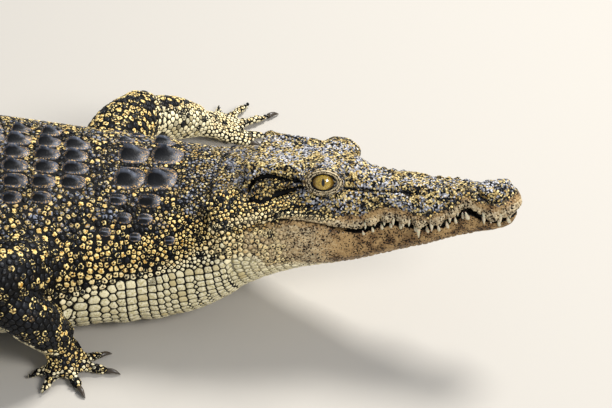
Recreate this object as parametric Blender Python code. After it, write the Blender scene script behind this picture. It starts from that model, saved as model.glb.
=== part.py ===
"""A half-grown Nile crocodile, two metres long, lying on its belly with its head raised.

Metres, +Z up. The nose points along +X, the animal's left side is +Y and it lies on the floor, z = 0.
The origin is on the floor under the middle of the trunk. Every part of the body is a closed solid in a
named object, parted from its neighbours by thin cuts.
"""

import math

import bmesh
import bpy
import numpy as np
from mathutils import Matrix, Vector

# ---- Driving dimensions -------------------------------------------------------------------------------
SKULL = 0.28  # snout tip to the back edge of the skull table
BODY = 1.698  # back of the head to the tail's tip, along the spine
CUT = 0.0004  # the thin cut between two parts
NECK_END = 0.15  # where each length of the body ends, as a distance behind the head
TRUNK_END = 0.66
TAIL_ENDS = (0.90, 1.18, 1.46, BODY)

# The head's own frame has its origin in the mouth plane under the back of the skull table.
HEAD_PLACE = Vector((0.440, -0.018, 0.1300))
HEAD_TURN = math.radians(-13.5)  # towards the animal's right
HEAD_RAISE = math.radians(9.5)
HEAD_LEAN = math.radians(-12.0)
HEAD_BACK = 1.08  # the head ends here, counted in skull lengths from the snout tip

EYE_RADIUS = 0.0136
EYE = (0.718, 0.112, 0.147)  # place of the left eyeball's centre: along, across and up, in skull lengths
LID_HALF_LENGTH = 0.0106
ORBIT = (0.092, 0.060, 0.066)  # half sizes of the mound of lids and bone round the eye, in skull lengths

SCUTE_ROWS = 0.031  # length of one crosswise row of back scutes
SCUTE_SPACING = 0.172  # from keel to keel across the back, as a share of the body's half width
WHORL = 0.033  # length of one ring of tail scales at the tail's base
BELLY_EDGE = -1.25  # angle round a cross section where the side turns under into the flat belly

COLOURS = {
    "hide": ((0.085, 0.080, 0.052), 0.55),
    "pale_hide": ((0.42, 0.37, 0.22), 0.5),
    "iris": ((0.50, 0.34, 0.07), 0.08),
    "claw": ((0.045, 0.038, 0.030), 0.35),
}


# ---- Small tools --------------------------------------------------------------------------------------
def through(*points):
    """A smooth curve through (place, value) pairs that never overshoots between two of them."""
    x = np.array([p[0] for p in points], float)
    y = np.array([p[1] for p in points], float)
    step = np.diff(x)
    slope = np.diff(y) / step
    tangent = np.zeros(len(x))
    tangent[0], tangent[-1] = slope[0], slope[-1]
    for i in range(1, len(x) - 1):
        if slope[i - 1] * slope[i] > 0:
            before, after = 2 * step[i] + step[i - 1], step[i] + 2 * step[i - 1]
            tangent[i] = (before + after) / (before / slope[i - 1] + after / slope[i])

    def value(at):
        at = min(max(at, x[0]), x[-1])
        i = min(int(np.searchsorted(x, at, "right")) - 1, len(step) - 1)
        t = (at - x[i]) / step[i]
        return float(
            y[i] * (1 + 2 * t) * (1 - t) ** 2
            + tangent[i] * step[i] * t * (1 - t) ** 2
            + y[i + 1] * t * t * (3 - 2 * t)
            + tangent[i + 1] * step[i] * t * t * (t - 1)
        )

    return value


def material(name):
    """A Principled material with one of the body's colours."""
    found = bpy.data.materials.get(name)
    if found:
        return found
    colour, roughness = COLOURS[name]
    made = bpy.data.materials.new(name)
    made.use_nodes = True
    shader = made.node_tree.nodes["Principled BSDF"]
    shader.inputs["Base Color"].default_value = (*colour, 1)
    shader.inputs["Roughness"].default_value = roughness
    return made


def link(name, bm, finish, smooth_under=35):
    """Turns a bmesh into a named object."""
    bmesh.ops.recalc_face_normals(bm, faces=bm.faces)
    mesh = bpy.data.meshes.new(name)
    bm.to_mesh(mesh)
    bm.free()
    mesh.shade_smooth()
    mesh.set_sharp_from_angle(angle=math.radians(smooth_under))
    mesh.materials.append(material(finish))
    made = bpy.data.objects.new(name, mesh)
    bpy.context.scene.collection.objects.link(made)
    return made


def add_loft(bm, rings):
    """Skins rings of equally many points, and closes both ends."""
    loops = [[bm.verts.new(p) for p in ring] for ring in rings]
    count = len(loops[0])
    for one, two in zip(loops, loops[1:]):
        for i in range(count):
            j = (i + 1) % count
            bm.faces.new((one[i], one[j], two[j], two[i]))
    bm.faces.new(loops[0])
    bm.faces.new(reversed(loops[-1]))


def loft(name, rings, finish="hide"):
    bm = bmesh.new()
    add_loft(bm, rings)
    return link(name, bm, finish)


def cutter(name, rings):
    """A closed guide shape that only cuts or joins others."""
    made = loft(name, rings)
    made.hide_render = True
    made.display_type = "WIRE"
    return made


def boolean(target, other, operation):
    change = target.modifiers.new(operation.lower(), "BOOLEAN")
    change.object = other
    change.operation = operation
    change.solver = "EXACT"


def arch(angle, width, up, down, square_up, square_down):
    """A point of a body's cross section, whose angle is 0 at the left side and a quarter turn on top."""
    across, high = math.cos(angle), math.sin(angle)
    power = 2 / (square_up if high > 0 else square_down)
    reach = up if high > 0 else down
    return (
        width * math.copysign(abs(across) ** power, across),
        reach * math.copysign(abs(high) ** power, high),
    )


# ---- Spine, neck, trunk and tail ------------------------------------------------------------------------
# Heading of the body behind the head, in degrees from straight back, positive towards the left side.
heading = through(
    (0, 13.5), (0.07, 9), (0.16, 1), (0.25, 0), (0.70, 0), (0.90, 8), (1.10, 18), (1.28, 13), (1.46, -12),
    (1.60, -30), (BODY, -40),
)
half_width = through(
    (0, 0.082), (0.03, 0.091), (0.07, 0.100), (0.12, 0.109), (0.18, 0.120), (0.27, 0.137), (0.37, 0.153),
    (0.46, 0.155), (0.54, 0.145), (0.62, 0.122), (0.70, 0.098), (0.82, 0.079), (1.00, 0.058), (1.20, 0.041),
    (1.40, 0.025), (1.58, 0.012), (BODY, 0.004),
)
back_height = through(
    (0, 0.174), (0.03, 0.166), (0.07, 0.161), (0.12, 0.161), (0.20, 0.166), (0.30, 0.172), (0.46, 0.173),
    (0.60, 0.160), (0.70, 0.146), (0.82, 0.130), (1.00, 0.108), (1.20, 0.082), (1.40, 0.056), (1.58, 0.032),
    (BODY, 0.013),
)
belly_height = through(
    (0, 0.038), (0.03, 0.016), (0.06, 0.002), (0.09, -0.004), (0.14, -0.006), (BODY, -0.004),
)
crest_height = through(
    (0.66, 0.004), (0.74, 0.009), (0.90, 0.017), (1.05, 0.024), (1.20, 0.027), (1.35, 0.023), (1.55, 0.013),
    (BODY, 0.004),
)
crest_gap = through(
    (0.66, 0.017), (0.90, 0.016), (1.02, 0.012), (1.12, 0.0035), (1.2, 0.0012), (BODY, 0.0010),
)


def head_rotation(share=1.0):
    """How the head is raised and leant, or a share of that for the neck."""
    return (
        Matrix.Rotation(HEAD_RAISE * share, 3, Vector((0, -1, 0)))
        @ Matrix.Rotation(HEAD_LEAN * share, 3, "X")
    )


def walk_spine(step=0.002):
    """Places along the spine, found by walking back from the head along the heading."""
    turn = Matrix.Rotation(HEAD_TURN, 3, "Z")
    behind = HEAD_PLACE + turn @ head_rotation() @ Vector(((1 - HEAD_BACK) * SKULL, 0, 0))
    middle = (back_height(0) + belly_height(0)) / 2
    onto_plane = turn @ Vector(((behind.z - middle) * math.tan(HEAD_RAISE), 0, 0))
    x, y = behind.x + onto_plane.x, behind.y + onto_plane.y
    places = [(0.0, x, y)]
    for i in range(int(BODY / step)):
        way = math.radians(heading((i + 0.5) * step))
        x -= math.cos(way) * step
        y += math.sin(way) * step
        places.append(((i + 1) * step, x, y))
    return np.array(places)


SPINE = walk_spine()


def body_frame(at):
    """Centre line place and rotation at a distance behind the head."""
    x = float(np.interp(at, SPINE[:, 0], SPINE[:, 1]))
    y = float(np.interp(at, SPINE[:, 0], SPINE[:, 2]))
    share = max(0.0, 1 - at / NECK_END)
    turn = Matrix.Rotation(math.radians(-heading(at)), 3, "Z") @ head_rotation(share * share)
    return Vector((x, y, 0)), turn


def body_point(at, across, height, back, belly):
    """A cross-section point set on the spine, never under the floor."""
    place, turn = body_frame(at)
    middle = (back + belly) / 2
    point = place + Vector((0, 0, middle)) + turn @ Vector((0, across, height - middle))
    point.z = max(point.z, 0.0)
    return point


def keel(at, across, width):
    """Height that the six rows of back scutes add: each keel climbs backward and drops at its row's end."""
    row, along = divmod((at - 0.012) / SCUTE_ROWS, 1.0)
    nearest = abs((across / (SCUTE_SPACING * width) - 0.5) % 1.0)
    ridge = 1 - 2 * min(nearest, 1 - nearest)
    lane = abs(across) / (SCUTE_SPACING * width)
    swell = through((0, 0.35), (0.62, 1), (0.96, 0.35), (1, 0.35))(along)
    if at < NECK_END:  # the neck carries one square of four tall scutes with a small one on each side
        cluster = 0.072 < at < 0.142
        tall = 0.0 if lane < 1 else 0.0095 if lane < 2 else 0.006
        return tall * ridge * swell if cluster else 0.0
    tall = 0.0068 if lane < 3.1 else 0.0
    return tall * ridge * swell


def trunk_ring(at):
    """Thirteen points over the keeled back, then the flanks, down to the edges of the flat belly."""
    width, back, belly = half_width(at), back_height(at), belly_height(at)
    middle = belly + (back - belly) * 0.47
    ring = []
    for column in range(6, -7, -1):
        across = column * 0.5 * SCUTE_SPACING * width
        rise = (1 - (abs(across) / width) ** 2.3) ** (1 / 2.3)
        height = middle + (back - middle) * rise + keel(at, across, width)
        ring.append(body_point(at, across, height, back, belly))
    edge = math.acos((3 * SCUTE_SPACING) ** (2.3 / 2))
    left = np.linspace(edge, BELLY_EDGE, 5)[1:]
    for angle in [*(math.pi - left), *left[::-1]]:
        across, height = arch(angle, width, back - middle, middle - belly, 2.3, 2.5)
        ring.append(body_point(at, across, middle + height, back, belly))
    return ring


def tail_ring(at, lift, fineness):
    """Seven points over the crest's two blades, which draw together into one, then the tail's sides."""
    width, back, belly = half_width(at), back_height(at), belly_height(at)
    middle = belly + (back - belly) * 0.5
    gap, tall = crest_gap(at), crest_height(at) * lift
    foot = gap + min(0.35 * width, 0.008)
    columns = (
        (foot, 0.0), (gap + 0.0012, tall), (max(gap - 0.0012, 0.0006), tall * 0.98),
        (0.0, tall * 0.98 if gap < 0.006 else 0.0),
    )
    columns += tuple((-a, t) for a, t in columns[2::-1])
    ring = []
    for across, tall_here in columns:
        rise = (1 - (abs(across) / width) ** 2) ** 0.5 if abs(across) < width else 0
        height = middle + (back - middle) * rise + tall_here
        ring.append(body_point(at, across, height, back + crest_height(at), belly))
    edge = math.acos(min(foot / width, 0.95))
    left = np.linspace(edge, BELLY_EDGE, fineness)[1:]
    for angle in [*(math.pi - left), *left[::-1]]:
        across, height = arch(angle, width, back - middle, middle - belly, 2.0, 2.4)
        ring.append(body_point(at, across, middle + height, back, belly))
    return ring


def body_stations(start, end, pitch, peaks):
    """Places of the rings: the low front, the peak and the drop of each scute row."""
    first = math.floor((start - 0.012) / pitch)
    inner = [
        0.012 + (row + part) * pitch
        for row in range(first, int((end - 0.012) / pitch) + 1)
        for part in peaks
    ]
    inner = [a for a in inner if start + 0.003 < a < end - 0.003]
    return [start, *inner, end]


def build_neck_and_trunk():
    stations = body_stations(CUT, NECK_END, SCUTE_ROWS, (0.04, 0.64))
    loft("neck", [trunk_ring(a) for a in stations])
    stations = body_stations(NECK_END + CUT, TRUNK_END, SCUTE_ROWS, (0.05, 0.66))
    return loft("trunk", [trunk_ring(a) for a in stations])


def build_tail():
    """Four lengths. Each whorl carries a blade that leans back and drops at its end."""
    names = ("tail_base", "tail_middle", "tail_end", "tail_tip")
    starts = (TRUNK_END, *TAIL_ENDS[:-1])
    whorl_length = through((TRUNK_END, WHORL), (1.2, 0.030), (BODY, 0.021))
    stations, at = [], TRUNK_END
    while at < BODY - 0.012:
        length = whorl_length(at)
        stations += [(at + 0.10 * length, 0.15), (at + 0.85 * length, 1.0)]
        at += length
    for name, start, end, fineness in zip(names, starts, TAIL_ENDS, (4, 4, 3, 3)):
        inner = [(a, lift) for a, lift in stations if start + 0.004 < a < end - 0.004]
        ends = [(start + CUT, 0.15), *inner, (end, 0.15)]
        loft(name, [tail_ring(a, lift, fineness) for a, lift in ends])


# ---- Head ---------------------------------------------------------------------------------------------
# Profiles of the head against the distance from the snout tip, all in skull lengths.
muzzle_half_width = through(
    (0, 0.014), (0.008, 0.033), (0.025, 0.054), (0.055, 0.074), (0.10, 0.086), (0.14, 0.085), (0.19, 0.075),
    (0.24, 0.083), (0.31, 0.103), (0.38, 0.114), (0.46, 0.116), (0.53, 0.123), (0.61, 0.143), (0.69, 0.168),
    (0.77, 0.192), (0.86, 0.217), (0.94, 0.238), (1.02, 0.258), (HEAD_BACK, 0.288),
)
crown = through(
    (0, 0.036), (0.008, 0.058), (0.025, 0.084), (0.05, 0.107), (0.08, 0.114), (0.12, 0.101), (0.18, 0.094),
    (0.26, 0.101), (0.36, 0.113), (0.46, 0.132), (0.54, 0.157), (0.61, 0.181), (0.68, 0.199), (0.735, 0.207),
    (0.80, 0.213), (0.90, 0.221), (0.985, 0.227), (1.0, 0.224), (1.012, 0.205), (1.03, 0.190),
    (HEAD_BACK, 0.186),
)
cheek_height = through(
    (0, 0.036), (0.008, 0.058), (0.025, 0.084), (0.05, 0.106), (0.08, 0.110), (0.12, 0.100), (0.18, 0.094),
    (0.26, 0.101), (0.36, 0.111), (0.46, 0.125), (0.54, 0.140), (0.62, 0.153), (0.72, 0.161), (0.85, 0.167),
    (1.0, 0.170), (HEAD_BACK, 0.186),
)
lip = through(
    (0, 0.012), (0.03, 0.0), (0.09, -0.014), (0.14, -0.002), (0.19, 0.026), (0.24, 0.002), (0.30, -0.028),
    (0.36, -0.034), (0.42, -0.020), (0.48, -0.011), (0.54, -0.022), (0.59, -0.034), (0.64, -0.030),
    (0.70, -0.014), (0.78, 0.012), (0.86, 0.030), (0.93, 0.030), (HEAD_BACK, 0.010),
)
mouth_gap = through((0, 0.012), (0.2, 0.014), (0.6, 0.015), (0.68, 0.009), (0.80, 0.0016), (HEAD_BACK, 0.0016))
jaw_half_width = through(
    (0.018, 0.012), (0.03, 0.031), (0.055, 0.050), (0.10, 0.060), (0.15, 0.066), (0.192, 0.073),
    (0.24, 0.068), (0.34, 0.081), (0.45, 0.093), (0.55, 0.104), (0.65, 0.136), (0.75, 0.177), (0.85, 0.209),
    (0.94, 0.236), (1.02, 0.258), (HEAD_BACK, 0.288),
)
jaw_bottom = through(
    (0.018, -0.030), (0.04, -0.060), (0.10, -0.087), (0.20, -0.104), (0.30, -0.129), (0.40, -0.156),
    (0.50, -0.180), (0.60, -0.200), (0.70, -0.215), (0.80, -0.230), (0.90, -0.252), (1.0, -0.288),
    (HEAD_BACK, -0.322),
)
table_half_width = through(
    (0.55, 0.045), (0.66, 0.060), (0.735, 0.082), (0.82, 0.118), (0.92, 0.128), (1.0, 0.137),
)


def head_matrix():
    turn = Matrix.Rotation(HEAD_TURN, 3, "Z") @ head_rotation()
    return Matrix.Translation(HEAD_PLACE) @ turn.to_4x4()


def in_head(along, across, up):
    """World place of a point given in skull lengths from the snout tip, across and above the mouth plane."""
    return head_matrix() @ Vector(((1 - along) * SKULL, across * SKULL, up * SKULL))


def larger(a, b, blend):
    """The larger of two lengths, with a rounded change from one to the other."""
    return max(a, b) + max(blend - abs(a - b), 0) ** 2 / (4 * blend)


def skull_point(along, angle):
    """A point of the upper head: an arched muzzle, and the flat skull table with its sharp side edges."""
    width, foot = muzzle_half_width(along), lip(along)
    square = through((0, 2.0), (0.2, 2.3), (0.6, 2.2), (HEAD_BACK, 2.1))(along)
    across, up = arch(angle, width, cheek_height(along) - foot, 0, square, 2)
    up += foot
    if 0.55 < along < 1.03:
        edge = table_half_width(min(along, 1.0))
        level = crown(along)
        fall = max(0.0, abs(across) - edge) / 0.020
        share = through((0.55, 0), (0.66, 1), (1.0, 1), (1.03, 0))(along)
        table = level - 0.034 * fall * fall
        up += share * (larger(up, table, 0.02) - up)
    elif along >= 1.03:
        up = max(up, foot)
    return across, up


def skull_ring(along, count=21):
    """Points from the left lip over the crown to the right lip, then back across the palate."""
    spread = [t - 0.055 * math.sin(4 * math.pi * t) / math.pi for t in np.linspace(0, 1, count)]
    over = [skull_point(along, math.pi * t) for t in spread]
    palate = [(0.0, lip(along))]
    return [in_head(along, across, up) for across, up in over + palate]


def jaw_ring(along, count=15):
    """Points of the lower jaw from the left lip under the chin to the right lip, then across its floor."""
    top = lip(along) - mouth_gap(along)
    width, depth = jaw_half_width(along), top - jaw_bottom(along)
    square = through((0.02, 2.0), (0.3, 2.9), (0.7, 3.1), (0.9, 2.8), (HEAD_BACK, 2.2))(along)
    under = [arch(-math.pi * t, width, 0, depth, 2, square) for t in np.linspace(0, 1, count)]
    floor = [(0, 0)]
    return [in_head(along, across, top + down) for across, down in under + floor]


def tooth_rings(along, across, root, tip, radius, lean):
    """Rings of one tapering tooth, given in skull lengths, from its root to near its point."""
    rings = []
    for share, thick in ((0, 1), (0.97, 0.16)):
        up = root + (tip - root) * share
        out = across + math.copysign(lean * share * share, across)
        ring = [
            in_head(along + radius * thick * math.cos(a), out + radius * thick * math.sin(a), up)
            for a in np.arange(4) * math.tau / 4
        ]
        rings.append(ring)
    return rings


# Upper teeth from front to back: place along the jaw and length below the lip, in skull lengths.
UPPER_TEETH = (
    (0.035, 0.018), (0.066, 0.022), (0.098, 0.032), (0.126, 0.024), (0.262, 0.022),
    (0.298, 0.028), (0.335, 0.034), (0.375, 0.050), (0.412, 0.032), (0.447, 0.026), (0.482, 0.024),
    (0.520, 0.026), (0.556, 0.024),
)
NOTCH_TOOTH = (0.192, 0.058)  # the fourth lower tooth, which stands in the notch of the upper jaw


def join_orbits(head):
    """Joins on the two mounds of lids and bone round the eyes."""
    turn = head_matrix().to_3x3().to_4x4()
    size = Matrix.Diagonal([SKULL * half for half in ORBIT]).to_4x4()
    for side, name in ((1, "orbit_left_tool"), (-1, "orbit_right_tool")):
        centre = in_head(EYE[0] + 0.006, side * (EYE[1] - 0.002), EYE[2] + 0.006)
        bm = bmesh.new()
        bmesh.ops.create_uvsphere(
            bm, u_segments=12, v_segments=8, radius=1, matrix=Matrix.Translation(centre) @ turn @ size
        )
        mound = link(name, bm, "hide", 180)
        mound.hide_render = True
        mound.display_type = "WIRE"
        boolean(head, mound, "UNION")


def build_head():
    near_tip = [0.0, 0.008, 0.02, 0.04, 0.065]
    muzzle = list(np.arange(0.10, 0.60, 0.045))
    crown_part = list(np.arange(0.62, 0.82, 0.04)) + [0.86, 0.92, 0.97]
    stations = near_tip + muzzle + crown_part + [0.99, 1.003, 1.014, 1.04, HEAD_BACK]
    head = loft("head", [skull_ring(s) for s in stations])
    bm = bmesh.new()
    for along, length in UPPER_TEETH:
        for side in (1, -1):
            across = side * (muzzle_half_width(along) - 0.0105)
            radius = 0.0045 + 0.08 * length
            rings = tooth_rings(along, across, lip(along) + 0.03, lip(along) - length, radius, 0.003)
            add_loft(bm, rings)
    teeth = link("upper_teeth_tool", bm, "pale_hide")
    teeth.hide_render = True
    teeth.display_type = "WIRE"
    boolean(head, teeth, "UNION")
    join_orbits(head)
    stations = [0.02, 0.032, 0.05, 0.075] + muzzle + crown_part + [1.04, HEAD_BACK]
    jaw = loft("lower_jaw", [jaw_ring(s) for s in stations], "pale_hide")
    bm = bmesh.new()
    along, length = NOTCH_TOOTH
    for side in (1, -1):
        root = lip(along) - mouth_gap(along) - 0.02
        across = side * (jaw_half_width(along) + 0.0015)
        rings = tooth_rings(along, across, root, root + length, 0.0085, 0.024)
        add_loft(bm, rings)
    tooth = link("notch_teeth_tool", bm, "pale_hide")
    tooth.hide_render = True
    tooth.display_type = "WIRE"
    boolean(jaw, tooth, "UNION")
    return head


def ball(name, centre, radius, finish):
    bm = bmesh.new()
    bmesh.ops.create_icosphere(bm, subdivisions=2, radius=radius)
    made = link(name, bm, finish, 180)
    made.location = centre
    return made


def build_eyes(head):
    for side, name in ((1, "eye_left"), (-1, "eye_right")):
        centre = in_head(EYE[0], side * EYE[1], EYE[2])
        outward = (in_head(-0.28, side, 0.38) - in_head(0, 0, 0)).normalized()
        ball(name, centre, EYE_RADIUS, "iris")
        socket = ball(name + "_socket", centre, EYE_RADIUS + 0.0009, "hide")
        socket.rotation_euler = (0.2 * side, 0.3, 0.1)
        socket.hide_render = True
        socket.display_type = "WIRE"
        boolean(head, socket, "DIFFERENCE")
        start, end = centre, centre + outward * 0.03
        opening = cutter(name + "_opening", [lid_ring(p, outward, LID_HALF_LENGTH) for p in (start, end)])
        boolean(head, opening, "DIFFERENCE")


def lid_ring(centre, outward, half_length):
    """The almond between the eyelids, across the line of sight."""
    forward = head_matrix().to_3x3() @ Vector((1, 0, 0))
    upward = outward.cross(forward)
    if upward.z < 0:
        upward.negate()
    return [
        centre + forward * half_length * math.cos(a) + upward * half_length * 0.68 * math.sin(a)
        for a in np.arange(12) * math.tau / 12
    ]


# ---- Legs ---------------------------------------------------------------------------------------------
def limb_rings(points, count, ball=False, fatter=0.0, sides=7):
    """Rings on a smooth curve through joints, each of which gives x, y, z, half breadth and half depth.

    The last ring can be followed by two smaller ones that round the limb's end.
    """
    curves = [through(*((k, p[axis]) for k, p in enumerate(points))) for axis in range(5)]
    path = [[curve(t) for curve in curves] for t in np.linspace(0, len(points) - 1, count)]
    places = [Vector(p[:3]) for p in path]
    rings, flat = [], None
    for i, p in enumerate(path):
        ahead = places[min(i + 1, count - 1)] - places[max(i - 1, 0)]
        ahead.normalize()
        flat = flat - ahead * flat.dot(ahead) if flat else ahead.cross(Vector((0, 0, 1)))
        flat.normalize()
        rise = flat.cross(ahead)
        steps = ((0, 1), (0.55, 0.84), (0.88, 0.48)) if ball and i == count - 1 else ((0, 1),)
        for beyond, share in steps:
            centre = places[i] + ahead * (p[4] + fatter) * beyond
            rings.append([
                centre + (flat * (p[3] + fatter) * math.cos(a) + rise * (p[4] + fatter) * math.sin(a)) * share
                for a in np.arange(sides) * math.tau / sides
            ])
    if fatter and not ball:
        onward = (places[-1] - places[-2]).normalized() * fatter
        rings[-1] = [p + onward for p in rings[-1]]
    return rings


def digit_rings(base, heading_angle, length, radius, claw, root_height):
    """A toe that arches forward and comes down to the floor, and its claw. Returns both lists of rings."""
    way = Vector((math.cos(heading_angle), math.sin(heading_angle), 0))
    side = Vector((-way.y, way.x, 0))
    toe, nail = [], []
    for share, thick, height in (
        (0, 1.1, root_height), (0.45, 1.05, root_height * 0.72), (0.84, 0.84, radius * 0.72),
        (1.0, 0.42, radius * 0.52),
    ):
        centre = base + way * length * share
        centre.z = height
        toe.append([
            centre + side * radius * thick * math.cos(a) + Vector((0, 0, radius * thick * 0.86 * math.sin(a)))
            for a in np.arange(6) * math.tau / 6
        ])
    tip = base + way * (length + CUT)
    for share, thick, height in ((0, 0.40, 0.62), (0.55, 0.30, 0.58), (1.0, 0.08, 0.20)):
        centre = tip + way * claw * share
        centre.z = radius * height
        nail.append([
            centre + side * radius * thick * math.cos(a) + Vector((0, 0, radius * thick * 1.2 * math.sin(a)))
            for a in np.arange(4) * math.tau / 4
        ])
    return toe, nail


def build_foot(name, wrist, heading_angle, palm, digits, floor, sleeve):
    """A palm with its toes joined on, cut by the leg's end and the floor, and claws on the inner toes."""
    length, breadth, height = palm
    way = Vector((math.cos(heading_angle), math.sin(heading_angle), 0))
    side = Vector((-way.y, way.x, 0))
    rings = []
    for share, wide, tall, up in (
        (-0.15, 0.60, 0.90, 0.90), (0.25, 0.84, 0.84, 0.76), (0.60, 1.0, 0.64, 0.54),
        (0.88, 0.96, 0.50, 0.40), (1.0, 0.72, 0.36, 0.34),
    ):
        centre = Vector((wrist.x, wrist.y, 0)) + way * length * share
        centre.z = max(wrist.z * up, height * tall * 0.70)
        rings.append([
            centre + side * breadth * wide * math.cos(a) + Vector((0, 0, height * tall * math.sin(a)))
            for a in np.arange(10) * math.tau / 10
        ])
    foot = loft(name, rings)
    for number, (across, along, angle, toe_length, radius, claw) in enumerate(digits):
        base = Vector((wrist.x, wrist.y, 0)) + way * length * along + side * breadth * across
        toe, nail = digit_rings(
            base, heading_angle + math.radians(angle), toe_length, radius, claw, height * 0.62
        )
        boolean(foot, cutter(f"{name}_toe_{number + 1}", toe), "UNION")
        if claw:
            made = loft(f"{name}_claw_{number + 1}", nail, "claw")
            boolean(made, floor, "DIFFERENCE")
    boolean(foot, sleeve, "DIFFERENCE")
    boolean(foot, floor, "DIFFERENCE")


def build_floor():
    """The floor's top lies at z = 0 and flattens the soles."""
    bm = bmesh.new()
    bmesh.ops.create_cube(bm, size=1)
    floor = link("floor_tool", bm, "hide")
    floor.scale = (3, 2, 0.1)
    floor.location = (0, 0, -0.05)
    floor.hide_render = True
    floor.display_type = "WIRE"
    return floor


def body_outline_tool():
    """The neck and trunk a little fatter than they are, which trims the roots of the legs."""
    rings = []
    for at in np.linspace(0.10, 0.76, 34):
        place, _ = body_frame(at)
        ring = trunk_ring(at)
        middle = place + Vector((0, 0, back_height(at) * 0.45))
        rings.append([p + (p - middle).normalized() * 2.5 * CUT for p in ring])
    return cutter("body_outline_tool", rings)


# Joints of the legs, as x, y, z, half breadth and half depth. The left fore leg reaches forward beside the
# neck, and the right one is folded with its elbow high and its hand planted out to the side.
FORE_LEFT = (
    (0.256, 0.060, 0.098, 0.036, 0.036), (0.274, 0.130, 0.098, 0.033, 0.034),
    (0.297, 0.192, 0.080, 0.030, 0.030), (0.329, 0.225, 0.052, 0.026, 0.026),
    (0.360, 0.250, 0.028, 0.021, 0.019),
)
FORE_RIGHT = (
    (0.210, -0.070, 0.102, 0.036, 0.036), (0.178, -0.122, 0.120, 0.035, 0.035),
    (0.152, -0.143, 0.124, 0.031, 0.031), (0.195, -0.141, 0.081, 0.027, 0.027),
    (0.227, -0.130, 0.035, 0.022, 0.021),
)
HIND_LEFT = (
    (-0.200, 0.055, 0.080, 0.050, 0.048), (-0.168, 0.125, 0.088, 0.046, 0.045),
    (-0.136, 0.190, 0.074, 0.036, 0.035), (-0.176, 0.232, 0.048, 0.031, 0.030),
    (-0.218, 0.262, 0.027, 0.023, 0.021),
)
HIND_RIGHT = (
    (-0.200, -0.055, 0.080, 0.050, 0.048), (-0.160, -0.122, 0.090, 0.046, 0.045),
    (-0.118, -0.182, 0.078, 0.036, 0.035), (-0.168, -0.218, 0.050, 0.031, 0.030),
    (-0.220, -0.240, 0.027, 0.023, 0.021),
)
# Toes from the inner one out: place across and along the palm, angle in degrees, length, radius, claw.
# Angles and places are for a left foot; a right foot mirrors them.
HAND_TOES = (
    (-0.50, 0.50, -24, 0.042, 0.0064, 0.009), (-0.40, 0.70, -10, 0.052, 0.0066, 0.010),
    (0.0, 0.78, 15, 0.062, 0.0066, 0.010), (0.36, 0.70, 40, 0.058, 0.0060, 0),
    (0.50, 0.50, 64, 0.042, 0.0054, 0),
)
SPREAD_HAND_TOES = (
    (0.46, 0.40, 90, 0.034, 0.0064, 0.009), (0.36, 0.60, 55, 0.040, 0.0066, 0.010),
    (0.0, 0.60, 2, 0.036, 0.0066, 0.010), (-0.36, 0.60, -56, 0.038, 0.0060, 0),
    (-0.46, 0.40, -98, 0.032, 0.0054, 0),
)
FOOT_TOES = (
    (-0.58, 0.62, -24, 0.050, 0.0078, 0.013), (-0.24, 0.84, -8, 0.062, 0.0082, 0.014),
    (0.20, 0.86, 8, 0.068, 0.0080, 0.013), (0.58, 0.66, 24, 0.060, 0.0070, 0),
)


def mirrored(toes):
    return tuple((-t[0], t[1], -t[2], *t[3:]) for t in toes)


def build_leg(name, joints, foot_name, foot_heading, palm, toes, trunk_tool, floor):
    """An upper length that ends in a rounded joint, a lower length cut to fit it, and the foot."""
    upper = loft(name + "_upper", limb_rings(joints[:3], 5, ball=True))
    elbow = joints[2]
    shank = ((*elbow[:3], elbow[3] * 0.7, elbow[4] * 0.7), *joints[3:])
    lower = loft(name + "_lower", limb_rings(shank, 6))
    knee = cutter(name + "_joint_tool", limb_rings(joints[:3], 5, ball=True, fatter=2 * CUT))
    sleeve = cutter(name + "_sleeve_tool", limb_rings(shank, 6, fatter=2 * CUT))
    boolean(upper, trunk_tool, "DIFFERENCE")
    boolean(lower, knee, "DIFFERENCE")
    boolean(lower, trunk_tool, "DIFFERENCE")
    wrist = Vector(joints[-1][:3])
    build_foot(foot_name, wrist, math.radians(foot_heading), palm, toes, floor, sleeve)


def build_legs():
    floor, trunk_tool = build_floor(), body_outline_tool()
    hand, short_hand, foot = (0.042, 0.026, 0.0165), (0.024, 0.023, 0.0165), (0.060, 0.028, 0.0175)
    build_leg("fore_left", FORE_LEFT, "hand_left", 16, hand, HAND_TOES, trunk_tool, floor)
    build_leg("fore_right", FORE_RIGHT, "hand_right", -64, short_hand, SPREAD_HAND_TOES, trunk_tool, floor)
    build_leg("hind_left", HIND_LEFT, "foot_left", 46, foot, FOOT_TOES, trunk_tool, floor)
    build_leg("hind_right", HIND_RIGHT, "foot_right", -38, foot, mirrored(FOOT_TOES), trunk_tool, floor)


# ---- The animal ---------------------------------------------------------------------------------------
def main():
    for old in list(bpy.data.objects):
        bpy.data.objects.remove(old, do_unlink=True)
    build_neck_and_trunk()
    build_tail()
    head = build_head()
    build_eyes(head)
    build_legs()


main()
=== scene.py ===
"""A half-grown Nile crocodile on its belly, head raised: one skin, its scales, eyes, teeth and claws."""

import math
from functools import partial

import bmesh
import bpy
import numpy as np
from mathutils import Matrix, Vector, noise
from mathutils.bvhtree import BVHTree
from mathutils.kdtree import KDTree


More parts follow.
